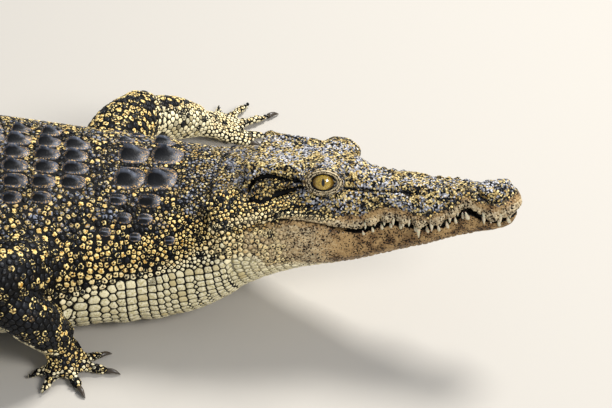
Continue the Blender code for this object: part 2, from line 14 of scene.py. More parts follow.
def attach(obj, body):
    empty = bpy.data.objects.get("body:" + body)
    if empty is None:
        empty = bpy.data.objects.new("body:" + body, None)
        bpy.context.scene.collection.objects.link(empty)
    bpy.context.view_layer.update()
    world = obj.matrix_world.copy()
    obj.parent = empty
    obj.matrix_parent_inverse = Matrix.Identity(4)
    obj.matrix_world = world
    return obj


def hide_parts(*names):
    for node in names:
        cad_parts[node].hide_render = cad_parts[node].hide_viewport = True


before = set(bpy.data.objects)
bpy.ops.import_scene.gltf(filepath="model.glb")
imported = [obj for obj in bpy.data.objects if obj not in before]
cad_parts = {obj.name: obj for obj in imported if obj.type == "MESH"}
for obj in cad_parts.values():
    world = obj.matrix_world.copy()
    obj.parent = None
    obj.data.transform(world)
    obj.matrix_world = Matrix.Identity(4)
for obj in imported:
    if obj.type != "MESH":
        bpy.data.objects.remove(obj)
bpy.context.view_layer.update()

chance = np.random.default_rng(11)

# ---- Skin of the neck, trunk and tail ------------------------------------------------------------
# The soft leathery skin that shows only in the grooves between the scales. It is one closed surface over
# the whole animal, laid out here as dense closed tubes that are melted into one further down.
SKULL = 0.28  # snout tip to the back edge of the skull table
SPINE = 1.698  # back of the head to the tail's tip
NECK_END, TRUNK_END = 0.15, 0.66
HEAD_PLACE = np.array((0.440, -0.018, 0.130))
HEAD_TURN, HEAD_RISE, HEAD_LEAN = -13.5, 9.5, -12  # degrees: turned aside, raised, and rolled over
HEAD_BACK = 1.08
UNDER_SCALES = 0.0012  # how deep the skin lies inside the outline


def curve(*points):
    """A smooth curve through (place, value) pairs that never overshoots between two of them."""
    x, y = np.array(points, float).T
    step = np.diff(x)
    slope = np.diff(y) / step
    tangent = np.concatenate((slope[:1], np.zeros(len(x) - 2), slope[-1:]))
    before, after = 2 * step[1:] + step[:-1], step[1:] + 2 * step[:-1]
    rising = slope[:-1] * slope[1:] > 0
    safe = np.where(rising, slope[:-1], 1), np.where(rising, slope[1:], 1)
    tangent[1:-1] = np.where(rising, (before + after) / (before / safe[0] + after / safe[1]), 0)

    def value(at):
        at = np.clip(at, x[0], x[-1])
        i = np.clip(np.searchsorted(x, at, "right") - 1, 0, len(step) - 1)
        t = (at - x[i]) / step[i]
        return (
            y[i] * (1 + 2 * t) * (1 - t) ** 2 + tangent[i] * step[i] * t * (1 - t) ** 2
            + y[i + 1] * t * t * (3 - 2 * t) + tangent[i + 1] * step[i] * t * t * (t - 1)
        )

    return value


heading = curve(
    (0, 13.5), (0.07, 9), (0.16, 1), (0.25, 0), (0.70, 0), (0.90, 8), (1.10, 18), (1.28, 13), (1.46, -12),
    (1.60, -30), (SPINE, -40),
)
half_width = curve(
    (0, 0.082), (0.03, 0.091), (0.07, 0.100), (0.12, 0.109), (0.18, 0.120), (0.27, 0.137), (0.37, 0.153),
    (0.46, 0.155), (0.54, 0.145), (0.62, 0.122), (0.70, 0.098), (0.82, 0.079), (1.00, 0.058), (1.20, 0.041),
    (1.40, 0.025), (1.58, 0.012), (SPINE, 0.004),
)
back_height = curve(
    (0, 0.174), (0.03, 0.166), (0.07, 0.161), (0.12, 0.161), (0.20, 0.166), (0.30, 0.172), (0.46, 0.173),
    (0.60, 0.160), (0.70, 0.146), (0.82, 0.130), (1.00, 0.108), (1.20, 0.082), (1.40, 0.056), (1.58, 0.032),
    (SPINE, 0.013),
)
belly_height = curve(
    (0, 0.038), (0.03, 0.016), (0.06, 0.002), (0.09, -0.004), (0.14, -0.006), (SPINE, -0.004),
)


def head_rotation(share=1.0):
    """How the head is raised and leant, or a share of that for the neck."""
    raised = Matrix.Rotation(math.radians(HEAD_RISE) * share, 3, Vector((0, -1, 0)))
    return raised @ Matrix.Rotation(math.radians(HEAD_LEAN) * share, 3, "X")


head_axes = np.array(Matrix.Rotation(math.radians(HEAD_TURN), 3, "Z") @ head_rotation())


def in_head(along, across, up):
    """World places of points given in skull lengths from the snout tip, across and above the mouth."""
    local = np.stack(np.broadcast_arrays(1 - np.asarray(along, float), across, up), axis=-1) * SKULL
    return HEAD_PLACE + local @ head_axes.T


def walk_spine(step=0.002):
    """Places along the spine, found by walking back from the head along the heading."""
    behind = in_head(HEAD_BACK, 0, 0)
    middle = (back_height(0) + belly_height(0)) / 2
    level = (behind[2] - middle) * math.tan(math.radians(HEAD_RISE))
    way = np.radians(heading((np.arange(int(SPINE / step)) + 0.5) * step))
    x = behind[0] + level * math.cos(math.radians(HEAD_TURN)) - np.cumsum(np.cos(way)) * step
    y = behind[1] + level * math.sin(math.radians(HEAD_TURN)) + np.cumsum(np.sin(way)) * step
    return np.stack((np.arange(1, len(x) + 1) * step, x, y), axis=1)


spine = walk_spine()


def body_ring(at, angles):
    """Points of the body's cross section; the angle is 0 on the left side and a quarter turn on top."""
    width, back, belly = half_width(at), back_height(at), belly_height(at)
    tail = curve((0.60, 0.0), (0.72, 1.0))(at)
    level = belly + (back - belly) * (0.47 + 0.03 * tail)
    side, high = np.cos(angles), np.sin(angles)
    power = 2 / np.where(high > 0, 2.3 - 0.3 * tail, 2.5 - 0.1 * tail)
    across = width * np.sign(side) * np.abs(side) ** power
    up = np.where(high > 0, back - level, level - belly) * np.sign(high) * np.abs(high) ** power
    middle = (back + belly) / 2
    share = max(0.0, 1 - at / NECK_END) ** 2
    turn = np.array(Matrix.Rotation(math.radians(-heading(at)), 3, "Z") @ head_rotation(share))
    flat = np.stack((np.zeros_like(across), across, level + up - middle), axis=1) @ turn.T
    x, y = (np.interp(at, spine[:, 0], spine[:, k]) for k in (1, 2))
    points = flat + (x, y, middle)
    points[:, 2] = np.maximum(points[:, 2], 0.0)
    return points


shell_points, shell_faces, shell_region, shell_along, shell_around, shell_lie = [], [], [], [], [], []
BODY, SKULL_PART, JAW_PART, LIMBS = 0, 1, 2, 3  # regions of the skin; each limb and foot has its own


def bands(index):
    """The quads between neighbouring rings of points, where each row of `index` is one ring."""
    onward = np.roll(index, -1, axis=1)
    return np.stack((index[:-1], onward[:-1], onward[1:], index[1:]), axis=-1).reshape(-1, 4)


def add_tube(rings, region, along):
    """Adds one closed tube to the shell, and notes where on which form each of its points lies."""
    count, sides, _ = rings.shape
    index = sum(map(len, shell_points)) + np.arange(count * sides).reshape(count, sides)
    shell_faces.extend(bands(index).tolist())
    shell_faces.append(index[0][::-1].tolist())
    shell_faces.append(index[-1].tolist())
    middle = rings.mean(axis=1)
    way = np.gradient(middle, axis=0)
    way /= np.linalg.norm(way, axis=1)[:, None] + 1e-9
    shell_points.append(rings.reshape(-1, 3))
    shell_region.append(np.full(count * sides, region))
    shell_along.append(np.repeat(along, sides))
    shell_around.append(np.tile(np.arange(sides) / sides, count))
    shell_lie.append(np.repeat(way, sides, axis=0))




def full_turn(count):
    """Evenly spaced angles once round."""
    return np.arange(count) * math.tau / count


ring_angles = full_turn(96)
body_stations = np.concatenate((np.arange(0.0, 1.66, 0.005), np.linspace(1.662, SPINE, 8)))
add_tube(np.array([body_ring(at, ring_angles) for at in body_stations]), BODY, body_stations)

# ---- Skin of the head ----------------------------------------------------------------------------
# Thin skin drawn tight over the rough bone of skull and jaw, without flesh or lips: a long flattened
# muzzle, a flat skull table behind the eyes and a deep jaw that swells to the rear.
muzzle_half_width = curve(
    (0, 0.014), (0.008, 0.033), (0.025, 0.054), (0.055, 0.074), (0.10, 0.086), (0.14, 0.085), (0.19, 0.075),
    (0.24, 0.083), (0.31, 0.103), (0.38, 0.114), (0.46, 0.116), (0.53, 0.123), (0.61, 0.143), (0.69, 0.168),
    (0.77, 0.192), (0.86, 0.217), (0.94, 0.238), (1.02, 0.258), (HEAD_BACK, 0.288),
)
crown = curve(
    (0, 0.036), (0.008, 0.058), (0.025, 0.084), (0.05, 0.107), (0.08, 0.114), (0.12, 0.101), (0.18, 0.094),
    (0.26, 0.101), (0.36, 0.113), (0.46, 0.132), (0.54, 0.157), (0.61, 0.181), (0.68, 0.199), (0.735, 0.207),
    (0.80, 0.213), (0.90, 0.221), (0.985, 0.227), (1.0, 0.224), (1.012, 0.205), (1.03, 0.190),
    (HEAD_BACK, 0.186),
)
cheek_height = curve(
    (0, 0.036), (0.008, 0.058), (0.025, 0.084), (0.05, 0.106), (0.08, 0.110), (0.12, 0.100), (0.18, 0.094),
    (0.26, 0.101), (0.36, 0.111), (0.46, 0.125), (0.54, 0.140), (0.62, 0.153), (0.72, 0.161), (0.85, 0.167),
    (1.0, 0.170), (HEAD_BACK, 0.186),
)
lip = curve(
    (0, 0.012), (0.03, 0.0), (0.09, -0.014), (0.14, -0.002), (0.19, 0.026), (0.24, 0.002), (0.30, -0.028),
    (0.36, -0.034), (0.42, -0.020), (0.48, -0.011), (0.54, -0.022), (0.59, -0.034), (0.64, -0.030),
    (0.70, -0.014), (0.78, 0.012), (0.86, 0.030), (0.93, 0.030), (HEAD_BACK, 0.010),
)
mouth_gap = curve((0, 0.014), (0.2, 0.020), (0.6, 0.022), (0.68, 0.014), (0.80, 0.0016), (HEAD_BACK, 0.0016))
jaw_half_width = curve(
    (0.018, 0.012), (0.03, 0.031), (0.055, 0.050), (0.10, 0.060), (0.15, 0.066), (0.192, 0.073),
    (0.24, 0.068), (0.34, 0.081), (0.45, 0.093), (0.55, 0.104), (0.65, 0.136), (0.75, 0.177), (0.85, 0.209),
    (0.94, 0.236), (1.02, 0.258), (HEAD_BACK, 0.288),
)
jaw_bottom = curve(
    (0.018, -0.030), (0.04, -0.060), (0.10, -0.087), (0.20, -0.104), (0.30, -0.129), (0.40, -0.156),
    (0.50, -0.180), (0.60, -0.200), (0.70, -0.215), (0.80, -0.230), (0.90, -0.252), (1.0, -0.288),
    (HEAD_BACK, -0.322),
)
table_half_width = curve(
    (0.55, 0.045), (0.66, 0.060), (0.735, 0.082), (0.82, 0.118), (0.92, 0.128), (1.0, 0.137),
)
table_share = curve((0.55, 0), (0.66, 1), (1.0, 1), (1.03, 0))
skull_square = curve((0, 2.0), (0.2, 2.3), (0.6, 2.2), (HEAD_BACK, 2.1))
jaw_square = curve((0.02, 2.0), (0.3, 2.9), (0.7, 3.1), (0.9, 2.8), (HEAD_BACK, 2.2))
ARCH_POINTS, FLOOR_POINTS = 84, 12  # points of a ring on its outside, and across its inside


def skull_ring(along):
    """The upper head's cross section from the left lip over the crown, then back across the palate."""
    angles = np.linspace(0, math.pi, ARCH_POINTS)
    foot, power = lip(along), 2 / skull_square(along)
    side, high = np.cos(angles), np.sin(angles)
    across = muzzle_half_width(along) * np.sign(side) * np.abs(side) ** power
    up = foot + (cheek_height(along) - foot) * np.abs(high) ** power
    fall = np.maximum(0, np.abs(across) - table_half_width(min(along, 1.0))) / 0.020
    table = crown(along) - 0.034 * fall * fall
    rounded = np.maximum(up, table) + np.maximum(0.02 - np.abs(up - table), 0) ** 2 / 0.08
    up += table_share(along) * (rounded - up)
    palate = np.linspace(-0.9, 0.9, FLOOR_POINTS) * muzzle_half_width(along)
    across, up = np.concatenate((across, palate)), np.concatenate((up, np.full(FLOOR_POINTS, foot)))
    return in_head(along, across, up)


def jaw_ring(along):
    """The lower jaw's cross section from the left lip under the chin, then back across its floor."""
    angles = np.linspace(0, math.pi, ARCH_POINTS)
    top, power = lip(along) - mouth_gap(along), 2 / jaw_square(along)
    side, high = np.cos(angles), np.sin(angles)
    across = jaw_half_width(along) * np.sign(side) * np.abs(side)
    down = (top - jaw_bottom(along)) * np.abs(high) ** power
    floor = np.linspace(-0.9, 0.9, FLOOR_POINTS) * jaw_half_width(along)
    across, up = np.concatenate((across, floor)), np.concatenate((top - down, np.full(FLOOR_POINTS, top)))
    return in_head(along, across, up)


near_tip = np.array((0.0, 0.003, 0.008, 0.014, 0.022))
head_stations = np.concatenate((near_tip, np.arange(0.03, HEAD_BACK + 0.06, 0.0075)))
add_tube(np.array([skull_ring(a) for a in head_stations]), SKULL_PART, head_stations)
jaw_stations = head_stations[head_stations > 0.02]
add_tube(np.array([jaw_ring(a) for a in jaw_stations]), JAW_PART, jaw_stations)

# The mounds of bone and lid round the eyes stand up from the skull.
EYE_RADIUS = 0.0136
EYE = (0.718, 0.112, 0.147)
ORBIT = (0.092, 0.060, 0.066)
LID_HALF_LENGTH, LID_HALF_HEIGHT = 0.0116, 0.0080
LID_FOOT, LID_REACH = 1.62, 1.98  # where the ringed lids reach the skin and where they end, in openings
eyes = {}
for side, name in ((1, "left"), (-1, "right")):
    centre = in_head(EYE[0], side * EYE[1], EYE[2])
    outward = in_head(-0.28, side, 0.38) - in_head(0, 0, 0)
    outward /= np.linalg.norm(outward)
    forward = head_axes[:, 0] - outward * (head_axes[:, 0] @ outward)
    forward /= np.linalg.norm(forward)
    upward = np.cross(outward, forward)
    upward *= np.sign(upward[2])
    eyes[name] = (centre, outward, forward, upward)
    lean = np.linspace(-math.pi / 2, math.pi / 2, 26)[1:-1, None]
    turn = full_turn(40)
    mound_along = EYE[0] + 0.006 + np.sin(lean) * ORBIT[0]
    mound_across = side * (EYE[1] - 0.002) + np.cos(lean) * ORBIT[1] * np.cos(turn)
    mound_up = EYE[2] + 0.006 + np.cos(lean) * ORBIT[2] * np.sin(turn)
    add_tube(in_head(mound_along, mound_across, mound_up), SKULL_PART, mound_along[:, 0])

# ---- Skin of the legs and feet -------------------------------------------------------------------
# Short sprawling legs with loose skin: an upper length that ends in a rounded elbow or knee, a lower
# length, a flat palm and separate toes. The joints give x, y, z, half breadth and half depth.
FORE_LEFT = (
    (0.256, 0.060, 0.098, 0.036, 0.036), (0.274, 0.130, 0.098, 0.033, 0.034),
    (0.297, 0.192, 0.080, 0.030, 0.030), (0.329, 0.225, 0.052, 0.026, 0.026),
    (0.360, 0.250, 0.028, 0.021, 0.019),
)
FORE_RIGHT = (
    (0.210, -0.070, 0.102, 0.036, 0.036), (0.178, -0.122, 0.120, 0.035, 0.035),
    (0.152, -0.143, 0.124, 0.031, 0.031), (0.195, -0.141, 0.081, 0.027, 0.027),
    (0.227, -0.130, 0.035, 0.022, 0.021),
)
HIND_LEFT = (
    (-0.200, 0.055, 0.080, 0.050, 0.048), (-0.168, 0.125, 0.088, 0.046, 0.045),
    (-0.136, 0.190, 0.074, 0.036, 0.035), (-0.176, 0.232, 0.048, 0.031, 0.030),
    (-0.218, 0.262, 0.027, 0.023, 0.021),
)
HIND_RIGHT = (
    (-0.200, -0.055, 0.080, 0.050, 0.048), (-0.160, -0.122, 0.090, 0.046, 0.045),
    (-0.118, -0.182, 0.078, 0.036, 0.035), (-0.168, -0.218, 0.050, 0.031, 0.030),
    (-0.220, -0.240, 0.027, 0.023, 0.021),
)
# Toes from the inner one out: place across and along the palm, angle, length, radius and claw length.
HAND_TOES = (
    (-0.50, 0.50, -24, 0.042, 0.0064, 0.009), (-0.40, 0.70, -10, 0.052, 0.0066, 0.010),
    (0.0, 0.78, 15, 0.062, 0.0066, 0.010), (0.36, 0.70, 40, 0.058, 0.0060, 0),
    (0.50, 0.50, 64, 0.042, 0.0054, 0),
)
SPREAD_HAND_TOES = (
    (0.46, 0.40, 90, 0.034, 0.0064, 0.009), (0.36, 0.60, 55, 0.040, 0.0066, 0.010),
    (0.0, 0.60, 2, 0.036, 0.0066, 0.010), (-0.36, 0.60, -56, 0.038, 0.0060, 0),
    (-0.46, 0.40, -98, 0.032, 0.0054, 0),
)
FOOT_TOES = (
    (-0.58, 0.62, -24, 0.050, 0.0078, 0.013), (-0.24, 0.84, -8, 0.062, 0.0082, 0.014),
    (0.20, 0.86, 8, 0.068, 0.0080, 0.013), (0.58, 0.66, 24, 0.060, 0.0070, 0),
)
MIRRORED_FOOT_TOES = tuple((-toe[0], toe[1], -toe[2], *toe[3:]) for toe in FOOT_TOES)
claws = []  # root, direction, length and radius of each claw, and the node it stands for


def limb_tube(joints, count, ball):
    """Rings along a smooth curve through the joints, closed by a rounded end where `ball` is true."""
    k = np.arange(len(joints))
    path = np.stack([curve(*zip(k, column))(np.linspace(0, k[-1], count)) for column in zip(*joints)], axis=1)
    turn = full_turn(28)
    rings, flat = [], None
    for i, (*place, breadth, depth) in enumerate(path):
        ahead = path[min(i + 1, count - 1), :3] - path[max(i - 1, 0), :3]
        ahead /= np.linalg.norm(ahead)
        flat = np.cross(ahead, (0, 0, 1)) if flat is None else flat - ahead * (flat @ ahead)
        flat /= np.linalg.norm(flat)
        rise = np.cross(flat, ahead)
        steps = [(0.0, 1.0)]
        if ball and i == count - 1:
            steps += [(math.sin(a), math.cos(a)) for a in np.linspace(0.2, 1.4, 7)]
        for beyond, share in steps:
            spoke = flat * breadth * np.cos(turn)[:, None] + rise * depth * np.sin(turn)[:, None]
            rings.append(np.array(place) + ahead * depth * beyond + spoke * share)
    return np.array(rings)


def lower_length(joints):
    """Rings of a forearm or shank, from inside the elbow or knee to the wrist or ankle."""
    *elbow, breadth, depth = joints[2]
    return limb_tube(((*elbow, breadth * 0.8, depth * 0.8), *joints[3:]), 26, False)


def flat_tube(base, way, lengths, heights, breadths, depths, sides=24):
    """Rings of a palm or toe that runs level from its base, each at its own height."""
    side = np.array((-way[1], way[0], 0))
    turn = full_turn(sides)
    rings = []
    for length, height, breadth, depth in zip(lengths, heights, breadths, depths):
        centre = np.array((base[0], base[1], 0)) + way * length + (0, 0, height)
        spoke = side * breadth * np.cos(turn)[:, None] + np.array((0, 0, 1)) * depth * np.sin(turn)[:, None]
        rings.append(centre + spoke)
    return np.array(rings)


def add_foot(name, region, wrist, heading_angle, palm, toes):
    """A palm and its toes, with a knuckle at each joint of a toe."""
    length, breadth, height = palm
    way = np.array((math.cos(heading_angle), math.sin(heading_angle), 0))
    side = np.array((-way[1], way[0], 0))
    share = np.linspace(0, 1, 14)
    wide = curve((0, 0.60), (0.35, 0.84), (0.65, 1.0), (0.9, 0.96), (1, 0.70))(share)
    tall = curve((0, 0.90), (0.35, 0.84), (0.65, 0.64), (0.9, 0.50), (1, 0.36))(share)
    sinking = curve((0, 0.90), (0.35, 0.76), (0.65, 0.54), (1, 0.34))(share)
    up = np.maximum(wrist[2] * sinking, height * tall * 0.7)
    rings = flat_tube(wrist, way, length * (1.15 * share - 0.15), up, breadth * wide, height * tall)
    add_tube(rings, region, 0.5 + 0.25 * share)
    for number, (across, along, angle, toe_length, radius, claw) in enumerate(toes):
        base = np.array((wrist[0], wrist[1], 0)) + way * length * along + side * breadth * across
        turned = heading_angle + math.radians(angle)
        toe_way = np.array((math.cos(turned), math.sin(turned), 0))
        share = np.linspace(0, 1, 22)
        knuckle = 1 + 0.10 * np.cos(share * math.tau * 3)
        thick = curve((0, 1.1), (0.45, 1.0), (0.84, 0.84), (0.95, 0.62), (1, 0.34))(share) * knuckle * radius
        root = height * 0.62
        high = curve((0, root), (0.45, root * 0.72), (0.84, radius * 0.72), (1, radius * 0.52))(share)
        rings = flat_tube(base, toe_way, toe_length * share, high, thick, thick * 0.86, 16)
        add_tube(rings, region, 0.75 + 0.25 * share)
        if claw:
            claws.append((base + toe_way * toe_length, toe_way, claw, radius, f"{name}_claw_{number + 1}"))


hand, short_hand, foot = (0.042, 0.026, 0.0165), (0.024, 0.023, 0.0165), (0.060, 0.028, 0.0175)
for number, (joints, name, angle, palm, toes) in enumerate((
    (FORE_LEFT, "hand_left", 16, hand, HAND_TOES),
    (FORE_RIGHT, "hand_right", -64, short_hand, SPREAD_HAND_TOES),
    (HIND_LEFT, "foot_left", 46, foot, FOOT_TOES),
    (HIND_RIGHT, "foot_right", -38, foot, MIRRORED_FOOT_TOES),
)):
    upper, lower = limb_tube(joints[:3], 24, True), lower_length(joints)
    add_tube(upper, LIMBS + number, np.linspace(0.0, 0.26, len(upper)))
    add_tube(lower, LIMBS + number, np.linspace(0.22, 0.5, len(lower)))
    add_foot(name, LIMBS + number, joints[-1], math.radians(angle), palm, toes)

# ---- One skin ------------------------------------------------------------------------------------
# The soft skin in one piece, without a seam. All these forms melt into one surface, and the space round
# the head is spread out for that, so that the head gets a mesh up to three and a half times finer.
MESH_SIZE = 0.0067
HEAD_ZOOM = 3.5
HEAD_REACH = 0.17  # from the middle of the head to beyond the snout's tip
heart = in_head(0.5, 0, 0.03)
reach = np.linspace(0, 2.5, 2501)
spread_slope = 1 + (HEAD_ZOOM - 1) * (1 - np.clip((reach - 0.13) / 0.10, 0, 1)) ** 2
spread_reach = np.concatenate(([0], np.cumsum((spread_slope[1:] + spread_slope[:-1]) / 2 * np.diff(reach))))


def rescaled(points, old, new):
    """Moves points straight away from or towards the middle of the head."""
    away = points - heart
    distance = np.linalg.norm(away, axis=1)
    return heart + away * (np.interp(distance, old, new) / np.maximum(distance, 1e-9))[:, None]


def read(items, name, width, kind=np.float32):
    """One property of all the vertices, edges or faces of a mesh, a row for each."""
    flat = np.empty(len(items) * width, kind)
    items.foreach_get(name, flat)
    return flat.reshape(-1, width)


def positions(mesh):
    return read(mesh.vertices, "co", 3).astype(float)


def normals_of(mesh):
    return read(mesh.vertex_normals, "vector", 3).astype(float)


def move_to(mesh, points):
    """Puts a mesh's vertices at new places."""
    mesh.vertices.foreach_set("co", points.astype(np.float32).ravel())
    mesh.update()


def neighbour_sums(values, edges):
    """For each vertex the sum of its neighbours' values."""
    one, two = edges.T
    return np.stack(
        [np.bincount(one, v[two], len(v)) + np.bincount(two, v[one], len(v)) for v in values.T], axis=1
    )


def smoothed(points, edges, rounds, weight):
    """Evens out a surface without shrinking it."""
    degree = np.bincount(edges.ravel(), minlength=len(points))[:, None]
    for step in [0.55, -0.57] * rounds:
        points = points + (neighbour_sums(points, edges) / degree - points) * step * weight
    return points


def tree_of(places):
    """A search tree that finds the nearest of some places."""
    tree = KDTree(len(places))
    for i, place in enumerate(places):
        tree.insert(place, i)
    tree.balance()
    return tree


shell = np.concatenate(shell_points)
raw = bpy.data.meshes.new("raw_shell")
raw.from_pydata(rescaled(shell, reach, spread_reach).tolist(), [], shell_faces)
melted = bpy.data.objects.new("melted", raw)
bpy.context.scene.collection.objects.link(melted)
remesh = melted.modifiers.new("melt", "REMESH")
remesh.mode = "VOXEL"
remesh.voxel_size = MESH_SIZE
skin_mesh = bpy.data.meshes.new_from_object(melted.evaluated_get(bpy.context.evaluated_depsgraph_get()))
skin_mesh.name = "skin"
bpy.data.objects.remove(melted, do_unlink=True)

points = rescaled(positions(skin_mesh), spread_reach, reach)
edges = read(skin_mesh.edges, "vertices", 2, np.int32)
on_head = np.linalg.norm(points - heart, axis=1) < HEAD_REACH
points = smoothed(points, edges, 10, np.where(on_head, 0.35, 1.0)[:, None])
move_to(skin_mesh, points)
points -= normals_of(skin_mesh) * UNDER_SCALES

shell_tree = tree_of(shell)
nearest = np.array([shell_tree.find(place)[1] for place in points])
region, along, around, lie = (
    np.concatenate(noted)[nearest] for noted in (shell_region, shell_along, shell_around, shell_lie)
)
local = ((points - HEAD_PLACE) @ head_axes) / SKULL
head_along, head_across, head_up = 1 - local[:, 0], local[:, 1], local[:, 2]
is_head = (region == SKULL_PART) | (region == JAW_PART)

# Forms of the head that the skin adds, in metres outward.
UPPER_TEETH = (
    (0.036, 0.014), (0.070, 0.018), (0.104, 0.016), (0.130, 0.028), (0.228, 0.013), (0.258, 0.021),
    (0.292, 0.011), (0.325, 0.025), (0.375, 0.048), (0.408, 0.011), (0.430, 0.021), (0.467, 0.020),
    (0.500, 0.018), (0.535, 0.011), (0.571, 0.010), (0.604, 0.005),
)
LOWER_TEETH = (
    (0.050, 0.015), (0.084, 0.010), (0.212, 0.015), (0.243, 0.011), (0.276, 0.017), (0.308, 0.012),
    (0.350, 0.015), (0.393, 0.017), (0.448, 0.015), (0.484, 0.011), (0.518, 0.013), (0.553, 0.008),
    (0.588, 0.005),
)
NOTCH_TOOTH = (0.194, 0.034)
LIP_BULGES = (
    (0.038, 0.8), (0.100, 1.1), (0.248, 0.8), (0.305, 1.0), (0.372, 1.4), (0.432, 1.0), (0.487, 0.9),
    (0.545, 0.8), (0.602, 0.5),
)


def hump(value, middle, spread):
    return np.exp(-(((value - middle) / spread) ** 2))


def smoothstep(low, high, value):
    t = np.clip((value - low) / (high - low), 0, 1)
    return t * t * (3 - 2 * t)


def span(start, full, fading, end, value):
    """Rises to 1 from one value to the next, stays there, and falls back to 0 between the last two."""
    return smoothstep(start, full, value) * (1 - smoothstep(fading, end, value))


def round_eye(places, centre, outward, forward, upward):
    """How far places lie from an eye: in sizes of its opening, outward, and as directions in metres."""
    away = places - centre
    ring = np.sqrt((away @ forward / LID_HALF_LENGTH) ** 2 + (away @ upward / LID_HALF_HEIGHT) ** 2)
    return ring, away @ outward, away


upper_lip, gap = lip(head_along), mouth_gap(head_along)
lower_lip, line = upper_lip - gap, upper_lip - gap / 2
rise, lip_creases = np.zeros((2, len(points)))
across = np.abs(head_across)
on_lip = hump(head_up, upper_lip + 0.012, 0.022) * (head_up > line)
for place, swell in LIP_BULGES:
    rise += 0.0029 * swell * hump(head_along, place, 0.019) * on_lip
for place in (0.070, 0.138, 0.276, 0.338, 0.402, 0.460, 0.516, 0.574):
    lip_creases += hump(head_along, place, 0.0058) * on_lip
rise -= 0.0014 * lip_creases
for place in np.arange(0.06, 0.62, 0.038):
    rise += 0.0010 * hump(head_along, place, 0.012) * hump(head_up, lower_lip - 0.016, 0.014)
corner = span(0.62, 0.70, 0.88, 0.94, head_along)
rise -= 0.0036 * corner * hump(head_up, line, 0.0085)
rise += 0.0016 * corner * (hump(head_up, line + 0.026, 0.013) + hump(head_up, line - 0.028, 0.014))
above = head_up > 0.05
nostril = hump(head_along, 0.082 + 0.6 * (across - 0.022), 0.007) * hump(across, 0.024, 0.012) * above
swirl = np.sqrt(((head_along - 0.098) / 0.056) ** 2 + ((across - 0.028) / 0.038) ** 2)
ring_groove = above * hump(swirl, 1.12, 0.13) * (across > 0.012)
rise += above * 0.0018 * hump(swirl, 0.66, 0.24) - 0.0018 * ring_groove - 0.0032 * nostril
canthus = curve((0.14, 0.040), (0.30, 0.056), (0.45, 0.064), (0.60, 0.081), (0.66, 0.092))(head_along)
on_snout = span(0.15, 0.24, 0.64, 0.70, head_along) * above
knob = 0.60 + 0.40 * np.cos(head_along * math.tau / 0.058 + 4 * np.sin(head_along * 23))
ridge_groove = on_snout * hump(across, canthus + 0.010, 0.0055) * smoothstep(0.32, 0.42, head_along)
rise += on_snout * 0.0028 * knob * hump(across, canthus - 0.008, 0.011) - 0.0022 * ridge_groove
inner_ridge, outer_ridge = (1 - knob) * hump(across, 0.018, 0.010), knob * hump(across, 0.036, 0.009)
rise += on_snout * (0.0014 * inner_ridge + 0.0016 * outer_ridge)
rise += 0.0022 * hump(head_along, 0.461, 0.012) * hump(across, canthus, 0.010) * above
wavy = 0.075 + 0.022 * np.sin(head_along * 21 + 0.6)
cheek_groove = hump(head_up, wavy, 0.0060) * (across > 0.05) * is_head
cheek_groove *= span(0.28, 0.36, 0.56, 0.63, head_along)
rise -= 0.0014 * cheek_groove
table_edge = table_half_width(np.clip(head_along, 0.55, 1.0))
rise += 0.0020 * hump(head_along, 0.70, 0.20) * smoothstep(-0.08, -0.17, head_up) * is_head
on_table = span(0.70, 0.80, 0.995, 1.02, head_along) * (head_up > 0.17)
table_side, table_back = hump(across, table_edge - 0.006, 0.012), hump(head_along, 0.985, 0.015)
rise += on_table * (0.0018 * table_side + 0.0014 * table_back)
rise -= on_table * 0.0012 * hump(across, 0.035, 0.05) * hump(head_along, 0.88, 0.06)

# The ear: a deep slit under the edge of the skull table, closed by an oval flap of granular skin.
slit_height = curve((0.75, 0.168), (0.80, 0.164), (0.86, 0.174), (0.92, 0.186), (0.97, 0.174), (1.0, 0.145))
foot_height = curve((0.75, 0.150), (0.84, 0.128), (0.89, 0.120), (0.94, 0.106), (0.99, 0.112))
ear_slit, ear_foot = slit_height(head_along), foot_height(head_along)
beside = (across > 0.10) & is_head & (head_up > 0.0)
before_ear_end = 1 - smoothstep(0.985, 1.01, head_along)
ear = smoothstep(0.755, 0.80, head_along) * before_ear_end * beside
ear_low = smoothstep(0.735, 0.765, head_along) * before_ear_end * beside
flap_middle = 0.5 * (ear_slit + ear_foot)
slit_here = hump(head_up, ear_slit - 0.006, 0.005 + 0.008 * smoothstep(0.84, 0.94, head_along))
foot_here = hump(head_up, ear_foot, 0.0085 + 0.002 * hump(head_along, 0.90, 0.05))
rise -= 0.0056 * ear * slit_here + 0.0048 * ear_low * foot_here
ear_flap, ear_roof = hump(head_up, flap_middle - 0.002, 0.013), hump(head_up, ear_slit + 0.016, 0.008)
rise += ear * (0.0024 * ear_flap + 0.0016 * ear_roof)
rise -= 0.0046 * hump(head_along, 0.992, 0.012) * hump(head_up, 0.135, 0.035) * beside
# Painted shade: the creases of the ear and the lips are gathered here, and further down the colours are
# painted darker in them.
creases = np.maximum.reduce((ear * slit_here, ear_low * foot_here, 0.85 * lip_creases))

# Folds of the cheek below the ear, and of the skin behind the head.
crease = curve(
    (0.64, 0.112), (0.67, 0.104), (0.73, 0.080), (0.80, 0.074), (0.87, 0.065), (0.94, 0.040), (0.98, 0.010),
)
here = span(0.63, 0.68, 0.95, 0.99, head_along) * beside
for shift, depth in ((0.0, 0.0026), (-0.027, 0.0016), (-0.052, 0.0012)):
    level = crease(head_along) + shift + 0.004 * np.sin(head_along * 40 + shift * 90)
    rise -= depth * here * hump(head_up, level, 0.0065)
    rise += 0.8 * depth * here * hump(head_up, level + 0.013, 0.008)
    # Each cheek fold is also painted darker along its groove: painted shade.
    creases = np.maximum(creases, 340 * depth * here * hump(head_up, level, 0.0060))
corner_groove = corner * hump(head_up, line, 0.0070)
# More painted shade: the mouth's corner, the groove round the nostril, the nostril, the snout's ridge groove
# and the cheek groove.
creases = np.maximum.reduce((
    creases, corner_groove, 0.85 * ring_groove, nostril, ridge_groove, 0.70 * cheek_groove,
))
rise += 0.004 * hump(head_along, 0.98, 0.09) * hump(head_up, -0.06, 0.09)
